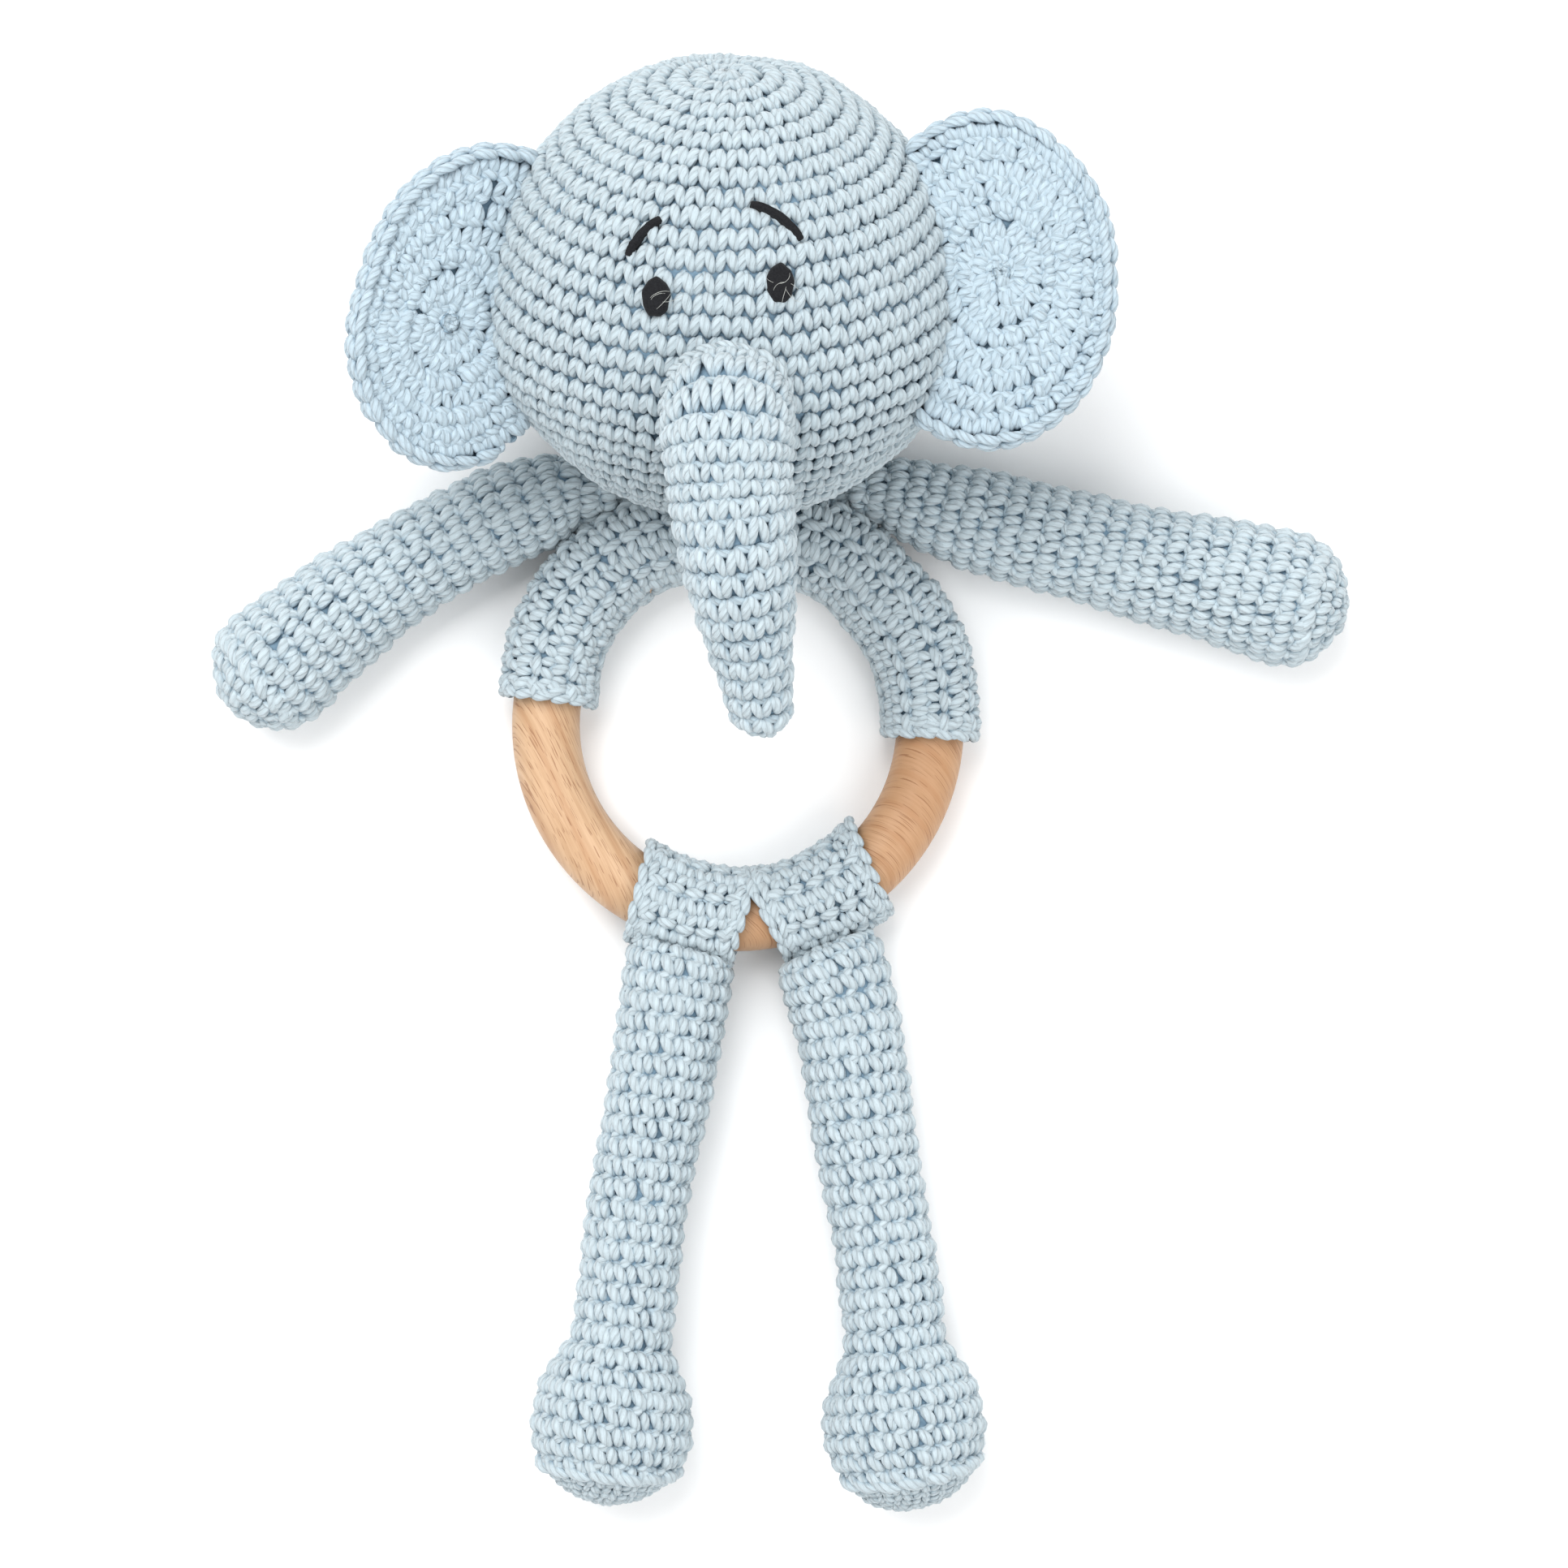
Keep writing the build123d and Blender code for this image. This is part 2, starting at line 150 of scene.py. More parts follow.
EAR_INNER = 11.0  # how far an ear reaches inwards of its seam, where the head curves away
EAR_AT = {"left": (-37.0, 60.9, 43.0), "right": (34.9, 65.1, 46.2)}
EAR_TILT = {"left": -19.0, "right": 2.0}
EAR_OUT = {"left": -1, "right": 1}
EAR_RISE = {"left": 24.0, "right": 3.0}
EAR_EYE = {"left": (3.4, -3.6), "right": (2.3, 0.8)}  # where the rows begin, outwards and along the seam

TRUNK_AT = (-0.9, 45.2)
TRUNK_ROOT = (-4.0, 0.5, 4.6)  # heights over the face where the trunk is sewn on
TRUNK_RUN = [(-0.5, 31.2, 71.4), (1.1, 19.7, 68.4), (2.8, 9.2, 63.3), (3.7, 2.7, 59.4)]
TRUNK_RADII = [
    (0.0, 8.8), (0.1, 9.5), (0.2, 9.7), (0.37, 9.0), (0.5, 8.6),
    (0.61, 8.1), (0.72, 7.2), (0.82, 6.3), (0.92, 5.5), (1.0, 5.1),
]
TRUNK_SEAM = [(0, 10.2), (0.8, 9.8), (1.6, 9.2)]  # distance out of the face and radius
TRUNK_SEAM_SINK = 0.6

SHOULDER_R = 1.7
SHOULDER_AT = {"left": 115.4, "right": 66.5}
SHOULDER_GAP = 0.3
KNOT_HALF = 2.2
KNOT_PROFILE = [(0, 1.6), (2.2, 1.9), (4.4, 1.7)]
ARM_ROOT = 5.0
ARM_RUN = {
    "left": [(-26, 36.0, 7.8), (-33, 33.8, 8.0), (-46.4, 27.2, 8.4), (-59, 19.2, 9.4), (-70.9, 9.4, 10.4)],
    "right": [(23, 35.6, 7.8), (31, 33.5, 8.0), (49.1, 28.5, 8.8), (67.9, 23.9, 9.7), (83.6, 19.7, 10.9)],
}
ARM_RADII = {
    "left": [(0, 4.4), (0.08, 6.4), (0.2, 7.5), (0.45, 7.9), (0.7, 8.8), (1, 10.3)],
    "right": [(0, 4.4), (0.08, 6.4), (0.2, 7.6), (0.45, 8.4), (0.7, 9.0), (1, 10.7)],
}

LEG_AT = {"left": (-9.8, -40.0, 8.4), "right": (16.1, -40.0, 8.4)}
FOOT_AT = {"left": (-19.2, -107.6, 12.6), "right": (25.5, -108.3, 12.6)}
FOOT_R = 12.5
BALL_RADII = [(12.6, 8.2), (9.6, 9.8), (5.6, 11.8), (0.0, FOOT_R)]  # back from the middle of the foot
LEG_RADII = [  # distance down the leg and radius
    (-6.4, 5.6), (-5.6, 7.6), (-4.6, 8.3), (-3.2, 8.5),
    (4.0, 8.5), (10.0, 8.3), (30.0, 7.9), (50.0, 7.9),
]
SOLE_LEAN = np.array([0.05, 0.0, -0.12])
SOLE_ROUNDS = 3
RIDGE_TURNS = (28, 34, 40)  # the ridge round a sole, as angles at the middle of the foot
RIDGE_LIFT = 0.6
LEG_BEND = 14.0  # over this length a leg turns from the way its cuff points to its own
LEG_BOW = {"left": -0.9, "right": 0.8}
BOW_FROM = 16.0
BOW_PAST = 2.0

X_DIR = np.array([1.0, 0.0, 0.0])
Y_DIR = np.array([0.0, 1.0, 0.0])
Z_DIR = np.array([0.0, 0.0, 1.0])


def unit(vectors):
    """The same directions at length one."""
    return vectors / np.maximum(np.linalg.norm(vectors, axis=-1, keepdims=True), 1e-9)


def place(x, y, z):
    """A place measured from the middle of the ring in plan and up from the floor."""
    return np.array([RING_MID[0] + x, RING_MID[1] + y, z])


def turned(angle, first, second):
    """A direction turned by an angle from a first one towards a second one."""
    return np.cos(angle) * first + np.sin(angle) * second


def in_ring(angle, radius, height):
    """A place at an angle and radius about the middle of the ring."""
    return place(radius * cos(radians(angle)), radius * sin(radians(angle)), height)


def smooth(at, knots, values):
    """A smooth curve through the values at the knots, read at each place in at."""
    knots = np.asarray(knots, float)
    values = np.asarray(values, float)
    slope = np.gradient(values, knots, axis=0)
    low = np.clip(np.searchsorted(knots, at) - 1, 0, len(knots) - 2)
    gap = knots[low + 1] - knots[low]
    t = (at - knots[low]) / gap
    if values.ndim > 1:
        gap, t = gap[:, None], t[:, None]
    before = (1 + 2 * t) * (1 - t) ** 2 * values[low] + t * (1 - t) ** 2 * gap * slope[low]
    after = t * t * (3 - 2 * t) * values[low + 1] - t * t * (1 - t) * gap * slope[low + 1]
    return before + after


def bump(at, first, last):
    """Rises from 0 at first to 1 halfway and falls back to 0 at last."""
    return np.sin(pi * np.clip((at - first) / (last - first), 0, 1))


def chords(points):
    """Distance from the first point to each of the others, along the line through them."""
    return np.concatenate([[0.0], np.cumsum(np.linalg.norm(np.diff(points, axis=0), axis=1))])


# ---- Forms: surfaces to crochet on ----

# surface(turn, along) gives points; turn runs once round, along is distance over the surface; a round
# form also tells its middle, so that the inside of a tight bend still faces outwards
Form = namedtuple("Form", "surface length girth out middle", defaults=[None])


def round_form(centres, forwards, radii, reference):
    """A round form from its centres, directions and radii, one after the other."""
    distance = chords(np.column_stack([centres, radii]))

    def read(along, values):
        return np.stack([np.interp(along, distance, values[:, k]) for k in range(3)], -1)

    def surface(turn, along):
        centre = read(along, centres)
        forward = unit(read(along, forwards))
        radius = np.interp(along, distance, radii)[..., None]
        across = unit(reference - forward * (forward @ reference)[..., None])
        up = np.cross(forward, across)
        angle = (2 * pi * turn)[..., None]
        return centre + radius * turned(angle, across, up)

    def girth(along):
        return 2 * pi * np.interp(along, distance, radii)

    return Form(surface, distance[-1], girth, 1, lambda along: read(along, centres))


def tube_form(path, radii, reference):
    """A bent tube with a dome at each end."""
    path = np.array(path, float)
    knots = chords(path)
    at = np.linspace(0, 1, 60)
    centres = smooth(at * knots[-1], knots, path)
    forwards = unit(np.gradient(centres, axis=0))
    widths = smooth(at, *zip(*radii))
    dome = np.radians(np.linspace(0, 90, 12))[1:]
    start = centres[0] - forwards[0] * (widths[0] * np.sin(dome[::-1]))[:, None]
    end = centres[-1] + forwards[-1] * (widths[-1] * np.sin(dome))[:, None]
    return round_form(
        np.vstack([start, centres, end]),
        np.vstack([np.tile(forwards[0], (len(dome), 1)), forwards, np.tile(forwards[-1], (len(dome), 1))]),
        np.concatenate([widths[0] * np.cos(dome[::-1]), widths, widths[-1] * np.cos(dome)]),
        reference,
    )


def turned_form(start, axis, profile, reference):
    """A form turned about an axis from a profile of (distance along the axis, radius)."""
    profile = np.array(profile, float)
    centres = start + axis * profile[:, :1]
    return round_form(centres, np.tile(axis, (len(profile), 1)), profile[:, 1], reference)


def sleeve_middle(angle):
    """The middle of the sleeve's wall at each angle, and the direction outwards there."""
    outwards = turned(angle, X_DIR, Y_DIR)
    slack = sum(most * bump(angle, radians(first), radians(last)) for first, last, most in SLEEVE_SLACK)
    return place(0, 0, SLEEVE_R) + outwards * (RING_MEAN_R + slack), outwards


def wrap_form(start, span):
    """The outside of a crocheted tube round the ring's bar; turn runs along the bar."""

    def surface(turn, along):
        angle = np.radians(start + span * turn)[..., None]
        lie = (along / SLEEVE_R)[..., None]
        middle, outwards = sleeve_middle(angle)
        return middle + SLEEVE_R * turned(lie, outwards, Z_DIR)

    def girth(along):
        return radians(span) * (RING_MEAN_R + 0.4 * SLEEVE_R * np.cos(along / SLEEVE_R))

    return Form(surface, 2 * pi * SLEEVE_R, girth, 1)


def strap_form(mid, width):
    """A crocheted strap folded round the bar, as wide on its inner side as on its outer side."""

    def surface(turn, along):
        lie = (along / SLEEVE_R)[..., None]
        reach = RING_MEAN_R + SLEEVE_R * np.cos(lie)
        angle = radians(mid) + np.arcsin(np.clip((turn[..., None] - 0.5) * width / reach, -1, 1))
        outwards = turned(angle, X_DIR, Y_DIR)
        return place(0, 0, SLEEVE_R) + outwards * reach + SLEEVE_R * np.sin(lie) * Z_DIR

    return Form(surface, 2 * pi * SLEEVE_R, lambda along: width + 0 * along, 1)


def strap_edge_form(mid, width, side, band):
    """A narrow band along one edge of a strap."""
    strap = strap_form(mid, width)

    def surface(turn, along):
        across = 0.5 + side * (0.5 + (along - band * 0.6) / width)
        return strap.surface(across, turn * strap.length)

    return Form(surface, band, lambda along: strap.length + 0 * along, -side)


def edge_form(start, radius, width, shift):
    """A narrow band round the bar at an angle of the ring, for a chain along an edge."""
    outwards = np.array([cos(radians(start)), sin(radians(start)), 0])
    tangent = np.cross(Z_DIR, outwards)
    middle = in_ring(start, RING_MEAN_R, SLEEVE_R) + tangent * shift

    def surface(turn, along):
        angle = (2 * pi * turn)[..., None]
        spread = (along - width / 2)[..., None]
        return middle + radius * turned(angle, outwards, Z_DIR) + tangent * spread

    return Form(surface, width, lambda along: 2 * pi * radius + 0 * along, -1)


EAR = {}
for side in SIDES:
    tilt = radians(EAR_TILT[side])
    rise = radians(EAR_RISE[side])
    level = np.array([cos(tilt), sin(tilt), 0]) * EAR_OUT[side]
    outwards = turned(rise, level, Z_DIR)
    seam = np.array([-sin(tilt), cos(tilt), 0])
    EAR[side] = (place(*EAR_AT[side]), outwards, seam, np.cross(outwards, seam) * EAR_OUT[side])


def oval(turn, reach, half):
    """A place on a rounded oval, where all points have one reach from a seam of length 2 half."""
    reach = np.maximum(reach, LEAST_REACH)
    arc = pi * reach
    way = (turn % 1) * (4 * half + 2 * arc)
    top = (way - half) / reach
    bottom = pi + (way - 3 * half - arc) / reach
    parts = [way < half, way < half + arc, way < 3 * half + arc, way < 3 * half + 2 * arc]
    x = np.select(parts, [reach, reach * np.cos(top), -reach, reach * np.cos(bottom)], reach)
    y = np.select(
        parts,
        [way, half + reach * np.sin(top), 2 * half + arc - way, reach * np.sin(bottom) - half],
        way - 4 * half - 2 * arc,
    )
    rounder = 1 - EAR_EVEN * np.sin(2 * np.arctan2(y, x)) ** 2
    return (x * rounder)[..., None], (y * rounder)[..., None]


def ear_form(side, face):
    """The front (1) or back (-1) of an ear; turn runs round its oval rows, along runs outwards."""
    origin, outwards, seam, front = EAR[side]
    most = EAR_A[side] - EAR_RIM_R / 2
    half = EAR_B[side] - EAR_A[side]
    eye_out, eye_up = EAR_EYE[side]

    def surface(turn, along):
        share = along / most
        x, y = oval(turn, along, half * np.clip(share, 0, 1))
        eye = np.clip(1 - share**2, 0, 1)[..., None]
        puff = EAR_LAYER + EAR_RIPPLE * np.sin(along * EAR_RIPPLE_PACE) - EAR_THIN * share**4
        middle = origin + outwards * (EAR_CUT + eye_out * eye) + seam * eye_up * eye
        return middle + outwards * x + seam * y + front * face * puff[..., None]

    return Form(surface, most, lambda along: (4 * half / most + 2 * pi) * along, -face * EAR_OUT[side])


def ear_rim_form(side):
    """The rounded edge of an ear; turn runs along the edge, along runs over it from front to back."""
    origin, outwards, seam, front = EAR[side]
    most = EAR_A[side] - EAR_RIM_R
    half = EAR_B[side] - EAR_A[side]

    def surface(turn, along):
        round_by = (2 * turn - 1) * EAR_RIM_SWEEP
        reach = most + 0 * along
        x, y = oval(round_by, reach, half)
        next_x, next_y = oval(round_by, reach + 1, half)
        out = unit(outwards * (next_x - x) + seam * (next_y - y))
        lie = (along / EAR_RIM_R - pi / 2)[..., None]
        edge = origin + outwards * (EAR_CUT + x) + seam * y
        return edge + EAR_RIM_R * (np.cos(lie) * out - np.sin(lie) * front * EAR_RIM_DEEP)

    def girth(along):
        return 2 * EAR_RIM_SWEEP * (4 * half + 2 * pi * most) + 0 * along

    return Form(surface, pi * EAR_RIM_R, girth, -EAR_OUT[side])


# ---- Making meshes ----


def normals(form, turn, along):
    """Directions out of a form's surface."""
    turn_step = 1e-3
    along_step = 0.02
    round_it = form.surface(turn + turn_step, along) - form.surface(turn - turn_step, along)
    over_it = form.surface(turn, along + along_step) - form.surface(turn, along - along_step)
    out = unit(np.cross(round_it, over_it)) * form.out
    if form.middle is None:
        return out
    radial = unit(form.surface(turn, along) - form.middle(along))
    folded = np.sum(out * radial, axis=-1, keepdims=True) < FOLDED
    return np.where(folded, radial, out)


def press_down(points):
    """Presses what is close to the floor into a thin layer on it."""
    z = points[..., 2]
    pressed = FLOOR_FILM * np.exp(np.minimum(z, FLOOR_FILM) / FLOOR_FILM - 1)
    points[..., 2] = np.where(z < FLOOR_FILM, pressed, z)
    return points


def lumps(points):
    """Gentle unevenness of hand work and stuffing, as a height over the surface."""
    x, y, z = points[..., 0], points[..., 1], points[..., 2]
    # crossed waves of lengths that have no common measure, so that no lump repeats
    wide = np.sin(0.31 * x + 1.3 + 0.2 * z) * np.sin(0.27 * y + 0.4) + np.sin(0.19 * (x - y) + 2.1)
    return LUMPS_WIDE * wide + LUMPS_SMALL * np.sin(0.9 * x + 0.7 * y) * np.sin(0.8 * z - 0.5 * x)


def strands(form, start, end, bow, head, peak, tail, radius):
    """Short tapered strands on a form. start and end are (turn, along) pairs."""
    share = AT[None, :]
    hump = 4 * share * (1 - share)
    turn = start[:, :1] + (end[:, :1] - start[:, :1]) * share + bow[:, None] * hump
    along = start[:, 1:] + (end[:, 1:] - start[:, 1:]) * share
    up = normals(form, turn, along)
    middle = form.surface(turn, along)
    lift = head + (tail - head) * share + (peak[:, None] - (head + tail) / 2) * hump**HUMP_SHAPE
    middle = middle + up * (lumps(middle) + lift)[..., None]
    forward = unit(np.gradient(middle, axis=1))
    aside = unit(np.cross(forward, up))
    up = np.cross(aside, forward)
    thick = (radius[:, None] * THICK[None, :])[..., None]
    angle = (2 * pi * np.arange(FACETS) / FACETS - pi / 2)[None, None, :, None]
    ring = turned(angle, aside[:, :, None, :], up[:, :, None, :] * STRAND_FLAT)
    points = press_down(middle[:, :, None, :] + ring * thick[:, :, None, :])
    # how high each point lies, which the yarn's colour turns into painted shade where it lies deep
    height = lift[:, :, None] + np.sin(angle[..., 0]) * thick
    return points, height, np.linalg.norm(middle[:, -1] - middle[:, 0], axis=1)


def crochet(
    form, motifs, first=0, last=None, rounds=None, drift=0.12, keep=None, closed=True,
    stitch=STITCH, size=1.0, loose=0.04,
):
    """Rounds of stitches over a form, as strands. motifs are used in turn, one for each round."""
    rounds = rounds or max(1, round(form.length / ROUND))
    last = rounds if last is None else last
    step = form.length / rounds
    made = []
    for i in range(rounds):
        count = max(5, round(float(form.girth(np.array((i + COUNTED_AT) * step))) / stitch))
        shift = form.out * (drift * i + rng.uniform(-SHIFT_SPREAD, SHIFT_SPREAD))
        wobble = rng.normal(0, loose, (count, 2))
        swell = rng.normal(1, SWELL_SPREAD, count)
        lift = rng.normal(0, LIFT_SPREAD, count)
        if not first <= i < last:
            continue
        at = np.arange(count) + (shift if closed else 0.5)
        for strand in motifs[i % len(motifs)]:
            turn_from = (at - form.out * strand.x0 + wobble[:, 0]) / count
            lean = rng.normal(0, loose / 2, count)
            turn_to = (at - form.out * strand.x1 + wobble[:, 0] + lean) / count
            start = np.column_stack([turn_from, (i + strand.r0 + wobble[:, 1]) * step])
            end = np.column_stack([turn_to, (i + strand.r1 + wobble[:, 1]) * step])
            bow = np.full(count, -form.out * strand.bow / count)
            peak = strand.peak * size + lift
            thick = strand.radius * swell * size
            made.append(strands(form, start, end, bow, strand.head * size, peak, strand.tail * size, thick))
    points, height, length = joined(*made)
    if keep is not None:
        kept = keep(points.mean(axis=(1, 2)))
        points, height, length = points[kept], height[kept], length[kept]
    return points, height, length


def joined(*bundles):
    """Bundles of strands as one bundle."""
    return tuple(np.concatenate(parts) for parts in zip(*bundles))


def tube_faces(shape):
    """Four-sided faces between neighbouring rows of a grid of points, whose rows close on themselves."""
    index = np.arange(np.prod(shape)).reshape(shape)
    here, there = index[..., :-1, :], index[..., 1:, :]
    around = [here, np.roll(here, -1, axis=-1), np.roll(there, -1, axis=-1), there]
    return np.stack(around, -1).reshape(-1, 4)


def in_scene(name, data):
    """A new object in the scene."""
    obj = bpy.data.objects.new(name, data)
    bpy.context.scene.collection.objects.link(obj)
    return obj


def mesh_object(name, points, faces, material, uvs=None, floats=None):
    """A smooth mesh from points in millimetres and four-sided faces."""
    mesh = bpy.data.meshes.new(name)
    mesh.vertices.add(points.size // 3)
    mesh.vertices.foreach_set("co", (points * MM).astype(np.float32).ravel())
    mesh.loops.add(faces.size)
    mesh.loops.foreach_set("vertex_index", faces.astype(np.int32).ravel())
    mesh.polygons.add(len(faces))
    mesh.polygons.foreach_set("loop_start", np.arange(0, faces.size, 4, dtype=np.int32))
    mesh.polygons.foreach_set("use_smooth", np.ones(len(faces), bool))
    mesh.update(calc_edges=True)
    if uvs is not None:
        layer = mesh.uv_layers.new(name="yarn")
        layer.data.foreach_set("uv", uvs.astype(np.float32).ravel())
    for key, values in (floats or {}).items():
        attribute = mesh.attributes.new(key, "FLOAT", "POINT")
        attribute.data.foreach_set("value", values.astype(np.float32).ravel())
    mesh.materials.append(material)
    return in_scene(name, mesh)


def yarn_object(name, bundle, material):
    """One mesh of many strands, with their length and turn as a map for the yarn's twist."""
    points, height, length = bundle
    count, places, facets, _ = points.shape
    faces = tube_faces((count, places, facets))
    side_from = np.broadcast_to(np.arange(facets) / facets, (count, places - 1, facets))
    side_to = side_from + 1 / facets
    offset = rng.uniform(0, YARN_START, (count, 1))
    run = AT[None, :] * length[:, None] + offset
    run_from = np.broadcast_to(run[:, :-1, None], side_from.shape)
    run_to = np.broadcast_to(run[:, 1:, None], side_from.shape)
    corners = [(run_from, side_from), (run_from, side_to), (run_to, side_to), (run_to, side_from)]
    uvs = np.stack([np.stack(corner, -1) for corner in corners], -2).reshape(-1, 2)
    tint = np.broadcast_to(rng.uniform(0, 1, (count, 1, 1)), (count, places, facets))
    # the height feeds the yarn's painted crevice shade; the tint is each strand's own random tone
    return mesh_object(name, points, faces, material, uvs, {"height": height, "tint": tint})


def lining(name, form, depth, material, turns=48, closed=True):
    """A skin under the stitches of a form, closed round it or open at its two ends."""
    rows = max(6, round(form.length / LINING_STEP))
    along = np.linspace(0, form.length, rows)
    turn = np.arange(turns) / turns if closed else np.linspace(0.01, 0.99, turns)
    turn, along = np.meshgrid(turn, along, indexing="ij")
    inside = np.clip(along, LINING_END, form.length - LINING_END)
    points = form.surface(turn, along) - normals(form, turn, inside) * depth
    index = np.arange(points.shape[0] * points.shape[1]).reshape(points.shape[:2])
    around = np.roll(index, -1, axis=0) if closed else index[1:]
    here = index if closed else index[:-1]
    faces = np.stack([here[:, :-1], around[:, :-1], around[:, 1:], here[:, 1:]], -1).reshape(-1, 4)
    return mesh_object(name, press_down(points), faces, material)


# ---- Materials ----


def new_material(name):
    """An empty material with its shader."""
    material = bpy.data.materials.new(name)
    material.use_nodes = True
    tree = material.node_tree
    return material, tree, tree.nodes["Principled BSDF"]


def feed(tree, socket, value):
    """Gives a socket a value or a link."""
    if isinstance(value, (int, float, tuple)):
        socket.default_value = value
    else:
        tree.links.new(value, socket)


def math_node(tree, operation, *inputs):
    """A math node with values or links as its inputs."""
    node = tree.nodes.new("ShaderNodeMath")
    node.operation = operation
    for socket, value in zip(node.inputs, inputs):
        feed(tree, socket, value)
    return node.outputs[0]


def sum_node(tree, *weighted):
    """The sum of some links, each times its weight."""
    parts = [math_node(tree, "MULTIPLY", link, weight) for link, weight in weighted]
    return reduce(lambda total, part: math_node(tree, "ADD", total, part), parts)


def mix_node(tree, factor, first, second, kind="MIX"):
    """A colour mix of colours or links."""
    node = tree.nodes.new("ShaderNodeMix")
    node.data_type = "RGBA"
    node.blend_type = kind
    feed(tree, node.inputs["Factor"], factor)
    feed(tree, node.inputs[6], first)
    feed(tree, node.inputs[7], second)
    return node.outputs[2]


def range_node(tree, value, low, high, kind="SMOOTHSTEP"):
    """Goes from 0 at low to 1 at high, in a soft step or evenly."""
    node = tree.nodes.new("ShaderNodeMapRange")
    node.interpolation_type = kind
    tree.links.new(value, node.inputs["Value"])
    node.inputs["From Min"].default_value = low
    node.inputs["From Max"].default_value = high
    return node.outputs[0]


def noise_node(tree, vector, scale, detail=2.0):
    """A noise texture's value."""
    node = tree.nodes.new("ShaderNodeTexNoise")
    node.inputs["Scale"].default_value = scale
    node.inputs["Detail"].default_value = detail
    tree.links.new(vector, node.inputs["Vector"])
    return node.outputs["Fac"]


def dress(tree, shader, colour, roughness, specular=0.5, sheen=0.0, relief=None, strength=0.0, depth=0.0):
    """Gives a shader its colour, its gloss, the shine of its fibres, and a relief of a strength and depth."""
    feed(tree, shader.inputs["Base Color"], colour)
    shader.inputs["Roughness"].default_value = roughness
    shader.inputs["Specular IOR Level"].default_value = specular
    shader.inputs["Sheen Weight"].default_value = sheen
    if strength:
        tree.links.new(bump_node(tree, relief, strength, depth), shader.inputs["Normal"])


def bump_node(tree, height, strength, distance):
    """A bump from a height."""
    node = tree.nodes.new("ShaderNodeBump")
    node.inputs["Strength"].default_value = strength
    node.inputs["Distance"].default_value = distance
    tree.links.new(height, node.inputs["Height"])
    return node.outputs["Normal"]


def attribute_node(tree, name):
    """The value of a mesh attribute."""
    node = tree.nodes.new("ShaderNodeAttribute")
    node.attribute_name = name
    return node.outputs["Fac"]


PLIES = 5
TWIST = 7.0  # length of one full twist
PLY_ROUND = 0.6  # below 1, plies are round with sharp valleys
FIBRE_SCALES = (0.8, 5.0, 40.0)  # along the strand, across it, and from strand to strand
CREVICE_SHADE_TO_CREST = (-1.8, -0.2)  # heights between which the yarn goes from its painted crevice shade to its own light colour
# the least value of the painted ply shade and tone, and how much each strand's random tint changes it
SHADE_LEAST = 0.54
TINT_TONE = 0.05


def yarn_material(name, crest, crevice_shade):
    """Plied cotton: slanted plies and fibres along the strand, with painted shade where the strand lies deep
    and in the valleys between plies.
    """
    material, tree, shader = new_material(name)
    uv = tree.nodes.new("ShaderNodeUVMap")
    uv.uv_map = "yarn"
    split = tree.nodes.new("ShaderNodeSeparateXYZ")
    tree.links.new(uv.outputs[0], split.inputs[0])
    along, across = split.outputs[0], split.outputs[1]
    slant = sum_node(tree, (across, float(PLIES)), (along, PLIES / TWIST))
    plies = math_node(tree, "ABSOLUTE", math_node(tree, "SINE", math_node(tree, "MULTIPLY", slant, pi)))
    plies = math_node(tree, "POWER", plies, PLY_ROUND)
    tint = attribute_node(tree, "tint")
    place_uv = tree.nodes.new("ShaderNodeCombineXYZ")
    for socket, value, scale in zip(place_uv.inputs, (along, slant, tint), FIBRE_SCALES):
        tree.links.new(math_node(tree, "MULTIPLY", value, scale), socket)
    fibres = noise_node(tree, place_uv.outputs[0], scale=1.4, detail=3.0)

    # painted shade: the deeper a point lies among the strands, the nearer its colour is to the dark crevice
    # colour
    raised = range_node(tree, attribute_node(tree, "height"), *CREVICE_SHADE_TO_CREST, kind="LINEAR")
    # painted shade in the valleys between plies, times the fibres' and each strand's own random tone
    ply_shade_and_tone = math_node(tree, "ADD", sum_node(tree, (plies, 0.20), (fibres, 0.60)), SHADE_LEAST)
    ply_shade_and_tone = math_node(tree, "ADD", ply_shade_and_tone, math_node(tree, "MULTIPLY", tint, TINT_TONE))
    grey = tree.nodes.new("ShaderNodeCombineColor")
    for socket in list(grey.inputs)[:3]:
        tree.links.new(ply_shade_and_tone, socket)
    colour = mix_node(tree, raised, crevice_shade, crest)
    colour = mix_node(tree, 1.0, colour, grey.outputs[0], kind="MULTIPLY")
    relief = sum_node(tree, (plies, 0.65), (fibres, 0.70))
    dress(tree, shader, colour, 0.85, specular=0.2, sheen=0.3, relief=relief, strength=0.9, depth=0.0003)
    return material


def speckled_material(name, dark, light, scale, detail=2.0, coarse=None, **finish):
    """A material of two close colours in a fine noise, which is also its relief."""
    material, tree, shader = new_material(name)
    where = tree.nodes.new("ShaderNodeTexCoord").outputs["Object"]
    specks = noise_node(tree, where, scale, detail)
    relief = specks
    if coarse:
        relief = math_node(tree, "ADD", specks, noise_node(tree, where, coarse, 3.0))
    colour = mix_node(tree, specks, dark, light)
    dress(tree, shader, colour, relief=relief, **finish)
    return material


GRAIN = {"left": (63.0, 16.0), "right": (37.0, 30.0)}  # turn in plan and tilt of the grain's plates
PLATES = {"left": 350, "right": 200}  # how many plates to a metre
PORES = 7600  # how many rows of pores to a metre
HAIRS = 3600
GROWTH = (18, 80, 60)  # pace of the growth rings along, through and across the grain
RIGHT_FROM, RIGHT_TO = -0.020, 0.0  # in metres across the ring, where one grain gives way to the other
PALE = (0.50, 0.305, 0.17, 1), (0.62, 0.425, 0.27, 1)
WARM = (0.41, 0.215, 0.105, 1), (0.54, 0.325, 0.18, 1)
HAIR_BROWN = (0.36, 0.19, 0.085, 1)
ARC_BROWN = (0.36, 0.165, 0.065, 1)
PORE_BROWN = (0.22, 0.085, 0.03, 1)


